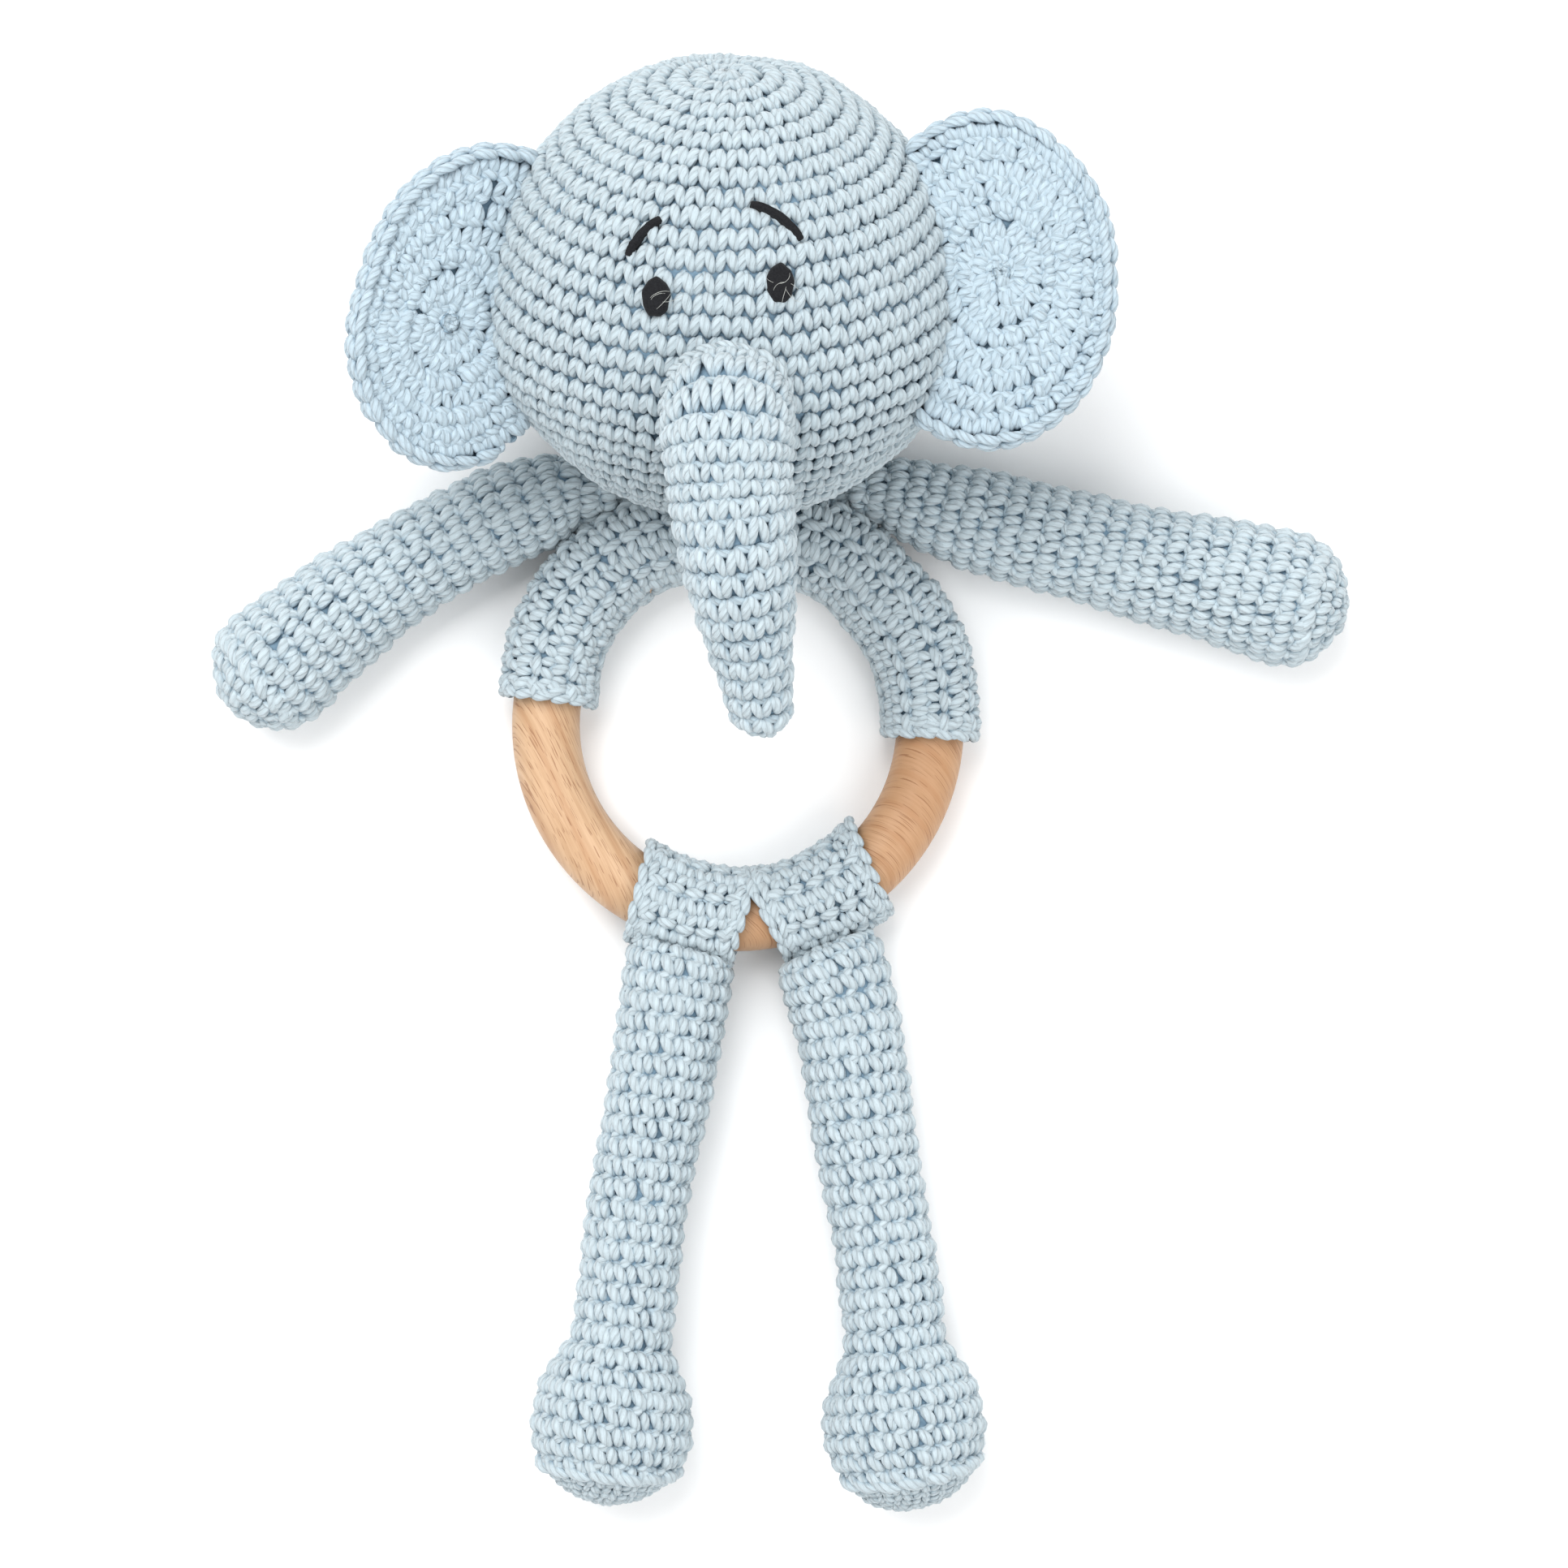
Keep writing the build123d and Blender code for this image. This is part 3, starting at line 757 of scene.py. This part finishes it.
def mapping_node(tree, vector, rotation=(0, 0, 0), scale=(1, 1, 1)):
    """A vector, first scaled and then turned."""
    node = tree.nodes.new("ShaderNodeMapping")
    tree.links.new(vector, node.inputs["Vector"])
    node.inputs["Rotation"].default_value = rotation
    node.inputs["Scale"].default_value = scale
    return node.outputs["Vector"]


def grain_values(tree, where, side, plate):
    """Pores, hairlines and growth rings of one half of the ring, cut from thin plates in the wood."""
    turn, tilt = (radians(angle) for angle in GRAIN[side])
    grain = mapping_node(tree, mapping_node(tree, where, (0, 0, turn)), (tilt, 0, 0))
    pores = noise_node(tree, mapping_node(tree, grain, scale=(plate, PORES, plate)), 1.0, 0.0)
    hairs = noise_node(tree, mapping_node(tree, grain, scale=(90, HAIRS, 90)), 1.0)
    wave = tree.nodes.new("ShaderNodeTexWave")
    wave.bands_direction = "Y"
    for key, value in (("Scale", 1.0), ("Distortion", 5.0), ("Detail", 2.0), ("Detail Scale", 0.6)):
        wave.inputs[key].default_value = value
    tree.links.new(mapping_node(tree, grain, scale=GROWTH), wave.inputs["Vector"])
    arcs = wave.outputs["Fac"]
    steps = ((pores, 0.67, 0.72), (hairs, 0.35, 0.65), (arcs, 0.80, 1.0))
    return [range_node(tree, value, low, high) for value, low, high in steps]


def beech_material():
    """Beech: pores as short dark lines, fine light hairlines and faint brown growth rings."""
    material, tree, shader = new_material("beech_wood")
    where = tree.nodes.new("ShaderNodeTexCoord").outputs["Object"]
    split = tree.nodes.new("ShaderNodeSeparateXYZ")
    tree.links.new(where, split.inputs[0])
    to_right = range_node(tree, split.outputs[0], RIGHT_FROM, RIGHT_TO)
    left, right = (grain_values(tree, where, side, PLATES[side]) for side in SIDES)
    pores, hairs, arcs = (mix_node(tree, to_right, one, other) for one, other in zip(left, right))
    cloud = noise_node(tree, mapping_node(tree, where, scale=(60, 60, 60)), 1.0)
    colour = mix_node(tree, to_right, mix_node(tree, cloud, *PALE), mix_node(tree, cloud, *WARM))
    marks = ((hairs, 0.34, HAIR_BROWN), (arcs, 0.35, ARC_BROWN), (pores, 0.6, PORE_BROWN))
    for mark, strength, brown in marks:
        colour = mix_node(tree, math_node(tree, "MULTIPLY", mark, strength), colour, brown)
    dents = sum_node(tree, (pores, -0.8), (hairs, -0.3))
    dress(tree, shader, colour, 0.48, specular=0.4, relief=dents, strength=0.35, depth=0.0001)
    return material


# copies of one cotton yarn; each crevice colour is painted shade where a strand lies deep
YARN = yarn_material("cotton_yarn_blue", (0.46, 0.54, 0.58, 1), (0.17, 0.31, 0.42, 1))
# the head's copy is darker, with deeper crevices: painted shade on the head
YARN_HEAD_SHADED = yarn_material("cotton_yarn_head_shaded", (0.44, 0.52, 0.56, 1), (0.11, 0.22, 0.31, 1))
# the ears' copy of the same yarn has a bluer crest and lighter painted crevice shade
YARN_EAR = yarn_material("cotton_yarn_ear", (0.43, 0.53, 0.595, 1), (0.19, 0.335, 0.46, 1))
# the inner side of the crochet, seen only through the gaps between stitches, in a dark blue that is painted
# shade in those gaps
PAINTED_SHADE_CORE = speckled_material(
    "yarn_core_painted_shade", (0.07, 0.13, 0.19, 1), (0.22, 0.33, 0.42, 1), scale=1400.0, detail=3.0,
    roughness=0.9, strength=0.6, depth=0.0003,
)
# black felt with matted fibres
FELT = speckled_material(
    "black_felt", (0.003, 0.003, 0.004, 1), (0.022, 0.023, 0.026, 1), scale=4200.0, detail=4.0, coarse=900.0,
    roughness=0.95, specular=0.15, sheen=0.05, strength=0.8, depth=0.0002,
)
# pale fibres caught on the felt
LINT = speckled_material(
    "pale_lint", (0.30, 0.31, 0.30, 1), (0.62, 0.64, 0.60, 1), scale=700.0, roughness=0.8,
)
# matt moulded plastic with a fine spark-eroded texture
PLASTIC = speckled_material(
    "rattle_plastic", (0.68, 0.68, 0.65, 1), (0.80, 0.80, 0.77, 1), scale=3000.0,
    roughness=0.45, strength=0.4, depth=0.0001,
)
BEECH = beech_material()


# ---- Ring, sleeve and cuffs ----


def make_packed_parts():
    """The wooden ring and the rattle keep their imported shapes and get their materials."""
    for node, material in (("teething_ring", BEECH), ("rattle_capsule", PLASTIC), ("rattle_beads", PLASTIC)):
        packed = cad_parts[node]
        packed.data.materials.clear()
        packed.data.materials.append(material)


def chain(form, rows=2, stitch=3.4, **more):
    """Chain stitches: rows of links that lean against each other."""
    return crochet(form, [LINKS_RIGHT, LINKS_LEFT], rounds=rows, drift=0.5, stitch=stitch, **more)


def make_sleeve():
    """The sleeve, with a chain at each end, its lining and the seam that closes it."""
    form = wrap_form(SLEEVE_START, SLEEVE_SPAN)
    rows = crochet(form, [SLANTED + UNDER, BACK + UNDER], rounds=15, closed=False, stitch=3.3)
    ends = [
        chain(edge_form(at, SLEEVE_R - 0.2, width=3.0, shift=shift), size=0.9)
        for at, shift in ((SLEEVE_START, 1.0), (SLEEVE_START + SLEEVE_SPAN, -1.0))
    ]
    sleeve = yarn_object("sleeve_stitches", joined(rows, *ends), YARN)
    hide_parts("ring_sleeve")
    core = lining("sleeve_lining", form, SKIN, PAINTED_SHADE_CORE, turns=90, closed=False)

    def seam_surface(turn, along):
        angle = np.radians(SLEEVE_START + SEAM_SHORT + (SLEEVE_SPAN - 2 * SEAM_SHORT) * turn)[..., None]
        lie = np.radians(SEAM_TURN) + ((along - SEAM_WIDTH / 2) / SLEEVE_R)[..., None]
        middle, outwards = sleeve_middle(angle)
        return middle + (SLEEVE_R + SEAM_LIFT) * turned(lie, outwards, Z_DIR)

    seam_form = Form(seam_surface, SEAM_WIDTH, lambda along: SEAM_LENGTH + 0 * along, 1)
    links = crochet(seam_form, [LINKS_RIGHT], rounds=1, closed=False, stitch=2.6, size=0.8)
    seam = yarn_object("sleeve_sewing", links, YARN)
    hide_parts("sleeve_seam")
    for piece in (sleeve, core, seam):
        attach(piece, "sleeve")


def make_cuff(side):
    """One cuff, with a chain along both its edges, and its lining."""
    shape = (CUFF_MID[side], CUFF_W[side])
    form = strap_form(*shape)
    rows = crochet(form, [SLANTED + UNDER, BACK + UNDER], rounds=16, closed=False, stitch=3.1)
    edges = [chain(strap_edge_form(*shape, way, band=2.6), stitch=3.3, size=0.85) for way in (1, -1)]
    cuff = yarn_object(f"{side}_cuff_stitches", joined(rows, *edges), YARN)
    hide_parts(f"{side}_leg_cuff")
    core = lining(f"{side}_cuff_lining", form, SKIN, PAINTED_SHADE_CORE, turns=24, closed=False)
    for piece in (cuff, core):
        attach(piece, f"{side}_cuff")


# ---- Head ----
HEAD_MID = place(*HEAD_AT)
HEAD_AXIS = np.array([0, cos(radians(HEAD_LEAN)), sin(radians(HEAD_LEAN))])
HEAD_BANDS = [("crown", 0, 11), ("brow", 11, 18), ("cheek", 18, 25), ("jaw", 25, None)]


def head_outline():
    """Radius and height of the head's outline from the crown to the neck."""
    outline = [(0.0, CROWN_H)]
    for turn in (75, 60, 45, 30, 15, 0):
        outline.append((HEAD_R * cos(radians(turn)), CROWN_H * sin(radians(turn))))
    outline += [CHEEK, NECK]
    knots = chords(np.array(outline))
    curve = smooth(np.linspace(0, knots[-1], 120), knots, outline)
    curve[0, 0] = 0
    return curve


def head_form():
    """The head as a turned form, crown first."""
    profile = [(CROWN_H - height, radius) for radius, height in head_outline()] + [(CROWN_H - NECK[1], 0.0)]
    return turned_form(HEAD_MID + HEAD_AXIS * CROWN_H, -HEAD_AXIS, profile, Z_DIR)


def padded_lining(name, form, body, node, turns=48):
    """The stuffed inside of a part, as a dark lining whose colour is painted shade."""
    core = lining(name, form, SKIN, PAINTED_SHADE_CORE, turns)
    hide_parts(node)
    if body:
        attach(core, body)
    return core


def make_head():
    """The head's rounds in four bands, over one lining."""
    form = head_form()
    for name, first, last in HEAD_BANDS:
        rounds = crochet(form, [EVEN], first=first, last=last, stitch=3.05)
        # the head's yarn is a darker copy of the same yarn, as painted shade
        band = yarn_object(f"head_{name}_rounds", rounds, YARN_HEAD_SHADED)
        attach(band, "head")
        if name == "crown":
            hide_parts("head_shell")
    padded_lining("head_lining", form, "head", "head_stuffing", turns=96)


def make_neck():
    """The few rounds that join the head to the sleeve."""
    base = HEAD_MID - HEAD_AXIS * (-NECK[1] - NECK_SINK)
    form = turned_form(base, -HEAD_AXIS, NECK_PROFILE, X_DIR)
    neck = yarn_object("neck_rounds", crochet(form, [SLANTED], rounds=2), YARN)
    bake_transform(neck)
    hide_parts("neck_seam")


# ---- Face ----
FELT_LIFT = 0.3
FELT_EDGE = 0.9  # how far a felt piece's edge reaches down to the stitches
FELT_RAGGED = 0.25
EYE_T = 0.75
BROW_T = 0.4
EYE_W = 3.9
EYE_H = 5.6
EYE_DROP = 0.5
LINT_HAIRS = 4
LINT_R = 0.032
LINT_LIFT = 0.04
LINT_WAVE = 0.08
BROW_W = 1.1
BROW_R = 11.0
BROW_ARC = {"left": 32.0, "right": 42.0}
BROW_FROM = {"left": 122.0, "right": 34.0}
BROW_AT = {"left": (-13.3, 69.6), "right": (6.5, 72.1)}

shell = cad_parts["head_shell"].data
HEAD_TREE = BVHTree.FromPolygons([v.co for v in shell.vertices], [tuple(p.vertices) for p in shell.polygons])


def on_face(x, y):
    """The head's surface straight under a place in plan, and the direction out of it."""
    spot, normal, _, _ = HEAD_TREE.ray_cast(Vector((x * MM, y * MM, 1.0)), Vector((0, 0, -1)))
    normal = np.array(normal)
    return np.array(spot) / MM, normal * np.sign(normal[2])


def felt_patch(name, plan, rings, around, thickness):
    """A soft-edged felt piece laid on the face. plan(turn, share) gives its places seen from above."""
    rows = []
    for share in np.arange(rings + 1) / rings:
        row = []
        for turn in np.arange(around) / around:
            x, y = plan(turn, share)
            spot, up = on_face(x, y)
            edge = sqrt(max(0.0, 1 - share**6))
            ragged = 1 + FELT_RAGGED * rng.normal() * share**4
            row.append(spot + up * (FELT_LIFT + thickness * edge * ragged))
        rows.append(row)
    under = [[spot - on_face(spot[0], spot[1])[1] * FELT_EDGE for spot in rows[-1]]]
    points = np.array(rows + under)
    return mesh_object(name, points, tube_faces(points.shape[:2]), FELT)


def make_eye(side):
    """A felt eye with a little lint on it."""
    low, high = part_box(f"{side}_eye")
    middle = (np.array(low) + np.array(high)) / 2 / MM - EYE_DROP * Y_DIR

    def plan(turn, share):
        angle = 2 * pi * turn
        wave = 1 + 0.03 * sin(5 * angle) + 0.02 * sin(9 * angle + 1)
        return (
            middle[0] + share * wave * EYE_W / 2 * cos(angle),
            middle[1] + share * wave * EYE_H / 2 * sin(angle),
        )

    eye = felt_patch(f"{side}_felt_eye", plan, 9, 56, EYE_T)
    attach(eye, "head")
    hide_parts(f"{side}_eye")

    # pale fibres that curl over the felt
    hairs = []
    for _ in range(LINT_HAIRS):
        start = rng.uniform(-0.45, 0.45, 2) * (EYE_W, EYE_H)
        heading = rng.uniform(0, 2 * pi)
        curl = rng.uniform(-1.4, 1.4)
        line = []
        for way in np.linspace(0, rng.uniform(1.8, 3.6), 10):
            x = middle[0] + start[0] * 0.7 + way * cos(heading + curl * way / 3)
            y = middle[1] + start[1] * 0.7 + way * sin(heading + curl * way / 3)
            spot, up = on_face(x, y)
            line.append(spot + up * (FELT_LIFT + EYE_T + LINT_LIFT + LINT_WAVE * sin(2 * way)))
        hairs.append(line)
    lint = hair_object(f"{side}_eye_lint", np.array(hairs), LINT_R, LINT)
    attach(lint, "head")


def hair_object(name, lines, radius, material):
    """Fine fibres along lines of points."""
    forward = unit(np.gradient(lines, axis=1))
    aside = unit(np.cross(forward, Z_DIR + 0.1 * X_DIR))
    up = np.cross(aside, forward)
    places = lines.shape[1]
    thin = (radius * np.sin(pi * np.linspace(0.03, 0.97, places)) ** 0.3)[None, :, None, None]
    angle = (2 * pi * np.arange(4) / 4)[None, None, :, None]
    ring = turned(angle, aside[:, :, None, :], up[:, :, None, :])
    points = lines[:, :, None, :] + thin * ring
    return mesh_object(name, points, tube_faces(points.shape[:3]), material)


def make_eyebrow(side):
    """A felt arc over an eye."""
    centre_turn = radians(BROW_FROM[side] + BROW_ARC[side] / 2)
    spot = place(*BROW_AT[side], 0)
    bend = spot[:2] - BROW_R * np.array([cos(centre_turn), sin(centre_turn)])
    half = radians(BROW_ARC[side]) / 2 + BROW_W / 2 / BROW_R

    def plan(turn, share):
        angle = 2 * pi * turn
        lean = np.sign(cos(angle)) * abs(cos(angle)) ** 0.5 * half * share
        side_way = np.sign(sin(angle)) * abs(sin(angle)) ** 0.35
        reach = BROW_R + share * BROW_W / 2 * side_way * (1 + 0.08 * sin(17 * angle))
        return bend[0] + reach * cos(centre_turn + lean), bend[1] + reach * sin(centre_turn + lean)

    brow = felt_patch(f"{side}_felt_eyebrow", plan, 5, 72, BROW_T)
    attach(brow, "head")
    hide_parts(f"{side}_eyebrow")


# ---- Ears ----


def outside_head(points):
    """Which points lie clear of the head."""
    relative = points - HEAD_MID
    axial = relative @ HEAD_AXIS
    radial = np.linalg.norm(relative - axial[:, None] * HEAD_AXIS, axis=1)
    outline = head_outline()[::-1]
    return radial > np.interp(axial, outline[:, 1], outline[:, 0]) - 0.8


def make_ear(side):
    """An ear's front and back, with a chain round its edge."""
    origin, outwards, _, _ = EAR[side]

    def beyond_seam(points):
        return outside_head(points) & ((points - origin) @ outwards > -EAR_INNER)

    def join_ear(piece):
        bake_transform(piece)

    for face, word in ((1, "front"), (-1, "back")):
        form = ear_form(side, face)
        eye = crochet(form, [EVEN], last=1, rounds=8, keep=beyond_seam, stitch=2.2)
        motifs = [EVEN + UNDER_EAR, SLANTED + UNDER_EAR]
        rows = crochet(form, motifs, first=1, rounds=8, keep=beyond_seam, stitch=3.1, size=1.02, loose=0.07)
        layer = yarn_object(f"{side}_ear_{word}_rows", joined(eye, rows), YARN_EAR)
        join_ear(layer)
        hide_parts(f"{side}_ear_{word}")
    rim = chain(ear_rim_form(side), rows=4, closed=False, size=0.9, keep=outside_head)
    edge = yarn_object(f"{side}_ear_chain", rim, YARN_EAR)
    join_ear(edge)
    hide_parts(f"{side}_ear_rim")
    make_ear_core(side)


def make_ear_core(side):
    """A thin inner layer, so that no light comes through between the stitches; its dark colour is painted
    shade.
    """
    origin, outwards, seam, front = EAR[side]
    around = 72
    turn = np.arange(around) / around
    most = EAR_A[side] - EAR_RIM_R
    rows = []
    for share, lift in EAR_CORE:
        reach = most * share
        x, y = oval(turn, reach + 0 * turn, (EAR_B[side] - EAR_A[side]) * min(1, reach))
        rows.append(origin + outwards * np.maximum(EAR_CUT + x, -EAR_INNER / 3) + seam * y + front * lift)
    points = np.array(rows)
    core = mesh_object(f"{side}_ear_lining", points, tube_faces(points.shape[:2]), PAINTED_SHADE_CORE)
    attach(core, f"{side}_ear")


# ---- Trunk and arms ----


def make_trunk():
    """The trunk, its lining and its seam; it bends where it leaves the face."""
    x, y, _ = place(*TRUNK_AT, 0)
    spot, up = on_face(x, y)
    root = [spot + up * lift for lift in TRUNK_ROOT]
    form = tube_form(root + [place(*point) for point in TRUNK_RUN], TRUNK_RADII, X_DIR)
    rows = joined(
        crochet(form, [EVEN + UNDER], rounds=32, last=16, stitch=3.3),
        crochet(form, [EVEN + UNDER], rounds=22, first=11, stitch=3.3),
    )
    trunk = yarn_object("trunk_rounds", rows, YARN)
    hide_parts("trunk_shell")
    core = padded_lining("trunk_lining", form, None, "trunk_stuffing")
    for piece in (trunk, core):
        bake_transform(piece)

    seam_form = turned_form(spot - up * TRUNK_SEAM_SINK, up, TRUNK_SEAM, X_DIR)
    links = crochet(seam_form, [LINKS_RIGHT], rounds=1, stitch=3.0, size=0.8)
    seam = yarn_object("trunk_sewing", links, YARN)
    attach(seam, "trunk_root")
    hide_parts("trunk_seam")


def make_arm(side):
    """An arm, its lining and the knot that sews it to the sleeve."""
    shoulder = in_ring(SHOULDER_AT[side], RING_MEAN_R + SLEEVE_R + SHOULDER_GAP + SHOULDER_R, SLEEVE_R)
    run = [place(*point) for point in ARM_RUN[side]]
    way = unit(run[0] - shoulder)
    root = shoulder + way * ARM_ROOT
    form = tube_form([root] + run, ARM_RADII[side], Z_DIR)
    rounds = round(form.length / ROUND)
    bundle = joined(
        crochet(form, [SLANTED + UNDER], stitch=3.8, size=1.04),
        crochet(form, [LINKS_RIGHT], rounds=rounds, first=rounds - 4, last=rounds - 3, stitch=3.6, size=1.25),
    )
    arm = yarn_object(f"{side}_arm_rounds", bundle, YARN)
    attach(arm, f"{side}_arm")
    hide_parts(f"{side}_arm_shell")
    padded_lining(f"{side}_arm_lining", form, f"{side}_arm", f"{side}_arm_stuffing")

    knot_form = turned_form(shoulder - way * KNOT_HALF, way, KNOT_PROFILE, Z_DIR)
    links = crochet(knot_form, [LINKS_RIGHT], rounds=1, stitch=1.9, size=0.8)
    knot = yarn_object(f"{side}_shoulder_sewing", links, YARN)
    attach(knot, f"{side}_shoulder")
    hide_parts(f"{side}_shoulder_seam")


# ---- Legs ----


def leg_form(side):
    """The leg's outline from the cuff to the toe."""
    top = place(*LEG_AT[side])
    foot = place(*FOOT_AT[side])
    axis = unit(foot - top)
    length = np.linalg.norm(foot - top)
    knots = LEG_RADII + [(length - back, radius) for back, radius in BALL_RADII]
    at = np.linspace(knots[0][0], length, 90)
    radii = smooth(at, *zip(*knots))
    toe = np.radians(np.linspace(0, 90, 16))[1:]
    at = np.concatenate([at[:1], at, length + FOOT_R * np.sin(toe)])
    radii = np.concatenate([[0.0], radii, FOOT_R * np.cos(toe)])
    cuff_way = in_ring(CUFF_MID[side], 1.0, 0) - place(0, 0, 0)
    aside = cuff_way - axis * (cuff_way @ axis)
    bend = np.clip(1 - (at - knots[0][0]) / LEG_BEND, 0, 1)[:, None]
    bow = LEG_BOW[side] * bump(at, BOW_FROM, length + BOW_PAST)[:, None]
    centres = top + axis * at[:, None] + X_DIR * bow - aside * (LEG_BEND / 2) * bend**2
    return round_form(centres, unit(axis + aside * bend), radii, Z_DIR)


def ridge_form(side):
    """A narrow band round the sole, where the rounds turn under."""
    top = place(*LEG_AT[side])
    foot = place(*FOOT_AT[side])
    axis = unit(foot - top + SOLE_LEAN * np.linalg.norm(foot - top))
    turns = np.radians(RIDGE_TURNS)
    profile = [(FOOT_R * sin(turn), FOOT_R * cos(turn) + RIDGE_LIFT) for turn in turns]
    return turned_form(foot, axis, profile, Z_DIR)


def make_leg(side):
    """A leg down to its sole, the ridge round the sole, and the lining."""
    form = leg_form(side)
    rounds = round(form.length / ROUND)
    upper = rounds - SOLE_ROUNDS
    bundle = joined(
        crochet(form, [SLANTED + UNDER], rounds=rounds, last=upper, stitch=4.05, size=1.04),
        crochet(form, [EVEN + UNDER], rounds=2 * rounds, first=2 * upper - 1, stitch=2.9, size=0.8),
        crochet(ridge_form(side), [LINKS_RIGHT], rounds=1, stitch=4.2, size=1.2),
    )
    leg = yarn_object(f"{side}_leg_rounds", bundle, YARN)
    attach(leg, f"{side}_leg")
    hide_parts(f"{side}_leg_shell")
    padded_lining(f"{side}_leg_lining", form, f"{side}_leg", f"{side}_leg_stuffing")


# ---- Floor, lights and camera ----
CAMERA_AT = (0.13, 1.39, 800.0)
CAMERA_LENS = 117.4


def make_stage():
    """A plain pale floor."""
    half = 3.0
    mesh = bpy.data.meshes.new("floor")
    corners = [(-half, -half, 0), (half, -half, 0), (half, half, 0), (-half, half, 0)]
    mesh.from_pydata(corners, [], [(0, 1, 2, 3)])
    material, tree, shader = new_material("pale_floor")
    dress(tree, shader, (0.92, 0.92, 0.92, 1), roughness=0.9)
    mesh.materials.append(material)
    in_scene("floor", mesh)


def area_light(name, spot, target, size, power):
    """A soft box that points at a target."""
    light = bpy.data.lights.new(name, "AREA")
    light.size = size
    light.energy = power
    lamp = in_scene(name, light)
    lamp.location = spot
    lamp.rotation_euler = (Vector(target) - Vector(spot)).to_track_quat("-Z", "Y").to_euler()


def make_lights():
    """Even studio light from all round, a key light above the head and a weaker fill beside the feet."""
    world = bpy.data.worlds.new("studio")
    world.use_nodes = True
    sky = world.node_tree.nodes["Background"]
    sky.inputs["Color"].default_value = (1, 1, 1, 1)
    sky.inputs["Strength"].default_value = 0.85
    bpy.context.scene.world = world
    area_light("key", (-0.30, 0.50, 1.00), target=(0, 0, 0.02), size=0.75, power=11.0)
    area_light("fill", (0.5, -0.5, 1.0), target=(0, 0, 0.02), size=0.8, power=5.0)


def make_camera():
    """Straight down, as the object lies on its back."""
    data = bpy.data.cameras.new("camera")
    data.lens = CAMERA_LENS
    data.clip_start = 0.01
    camera = in_scene("camera", data)
    camera.location = Vector(CAMERA_AT) * MM
    bpy.context.scene.camera = camera
    bpy.context.scene.view_settings.view_transform = "Standard"


make_camera()
make_stage()
make_lights()
make_packed_parts()
make_sleeve()
make_head()
make_neck()
make_trunk()
for side in SIDES:
    make_eye(side)
    make_eyebrow(side)
    make_ear(side)
    make_arm(side)
    make_cuff(side)
    make_leg(side)
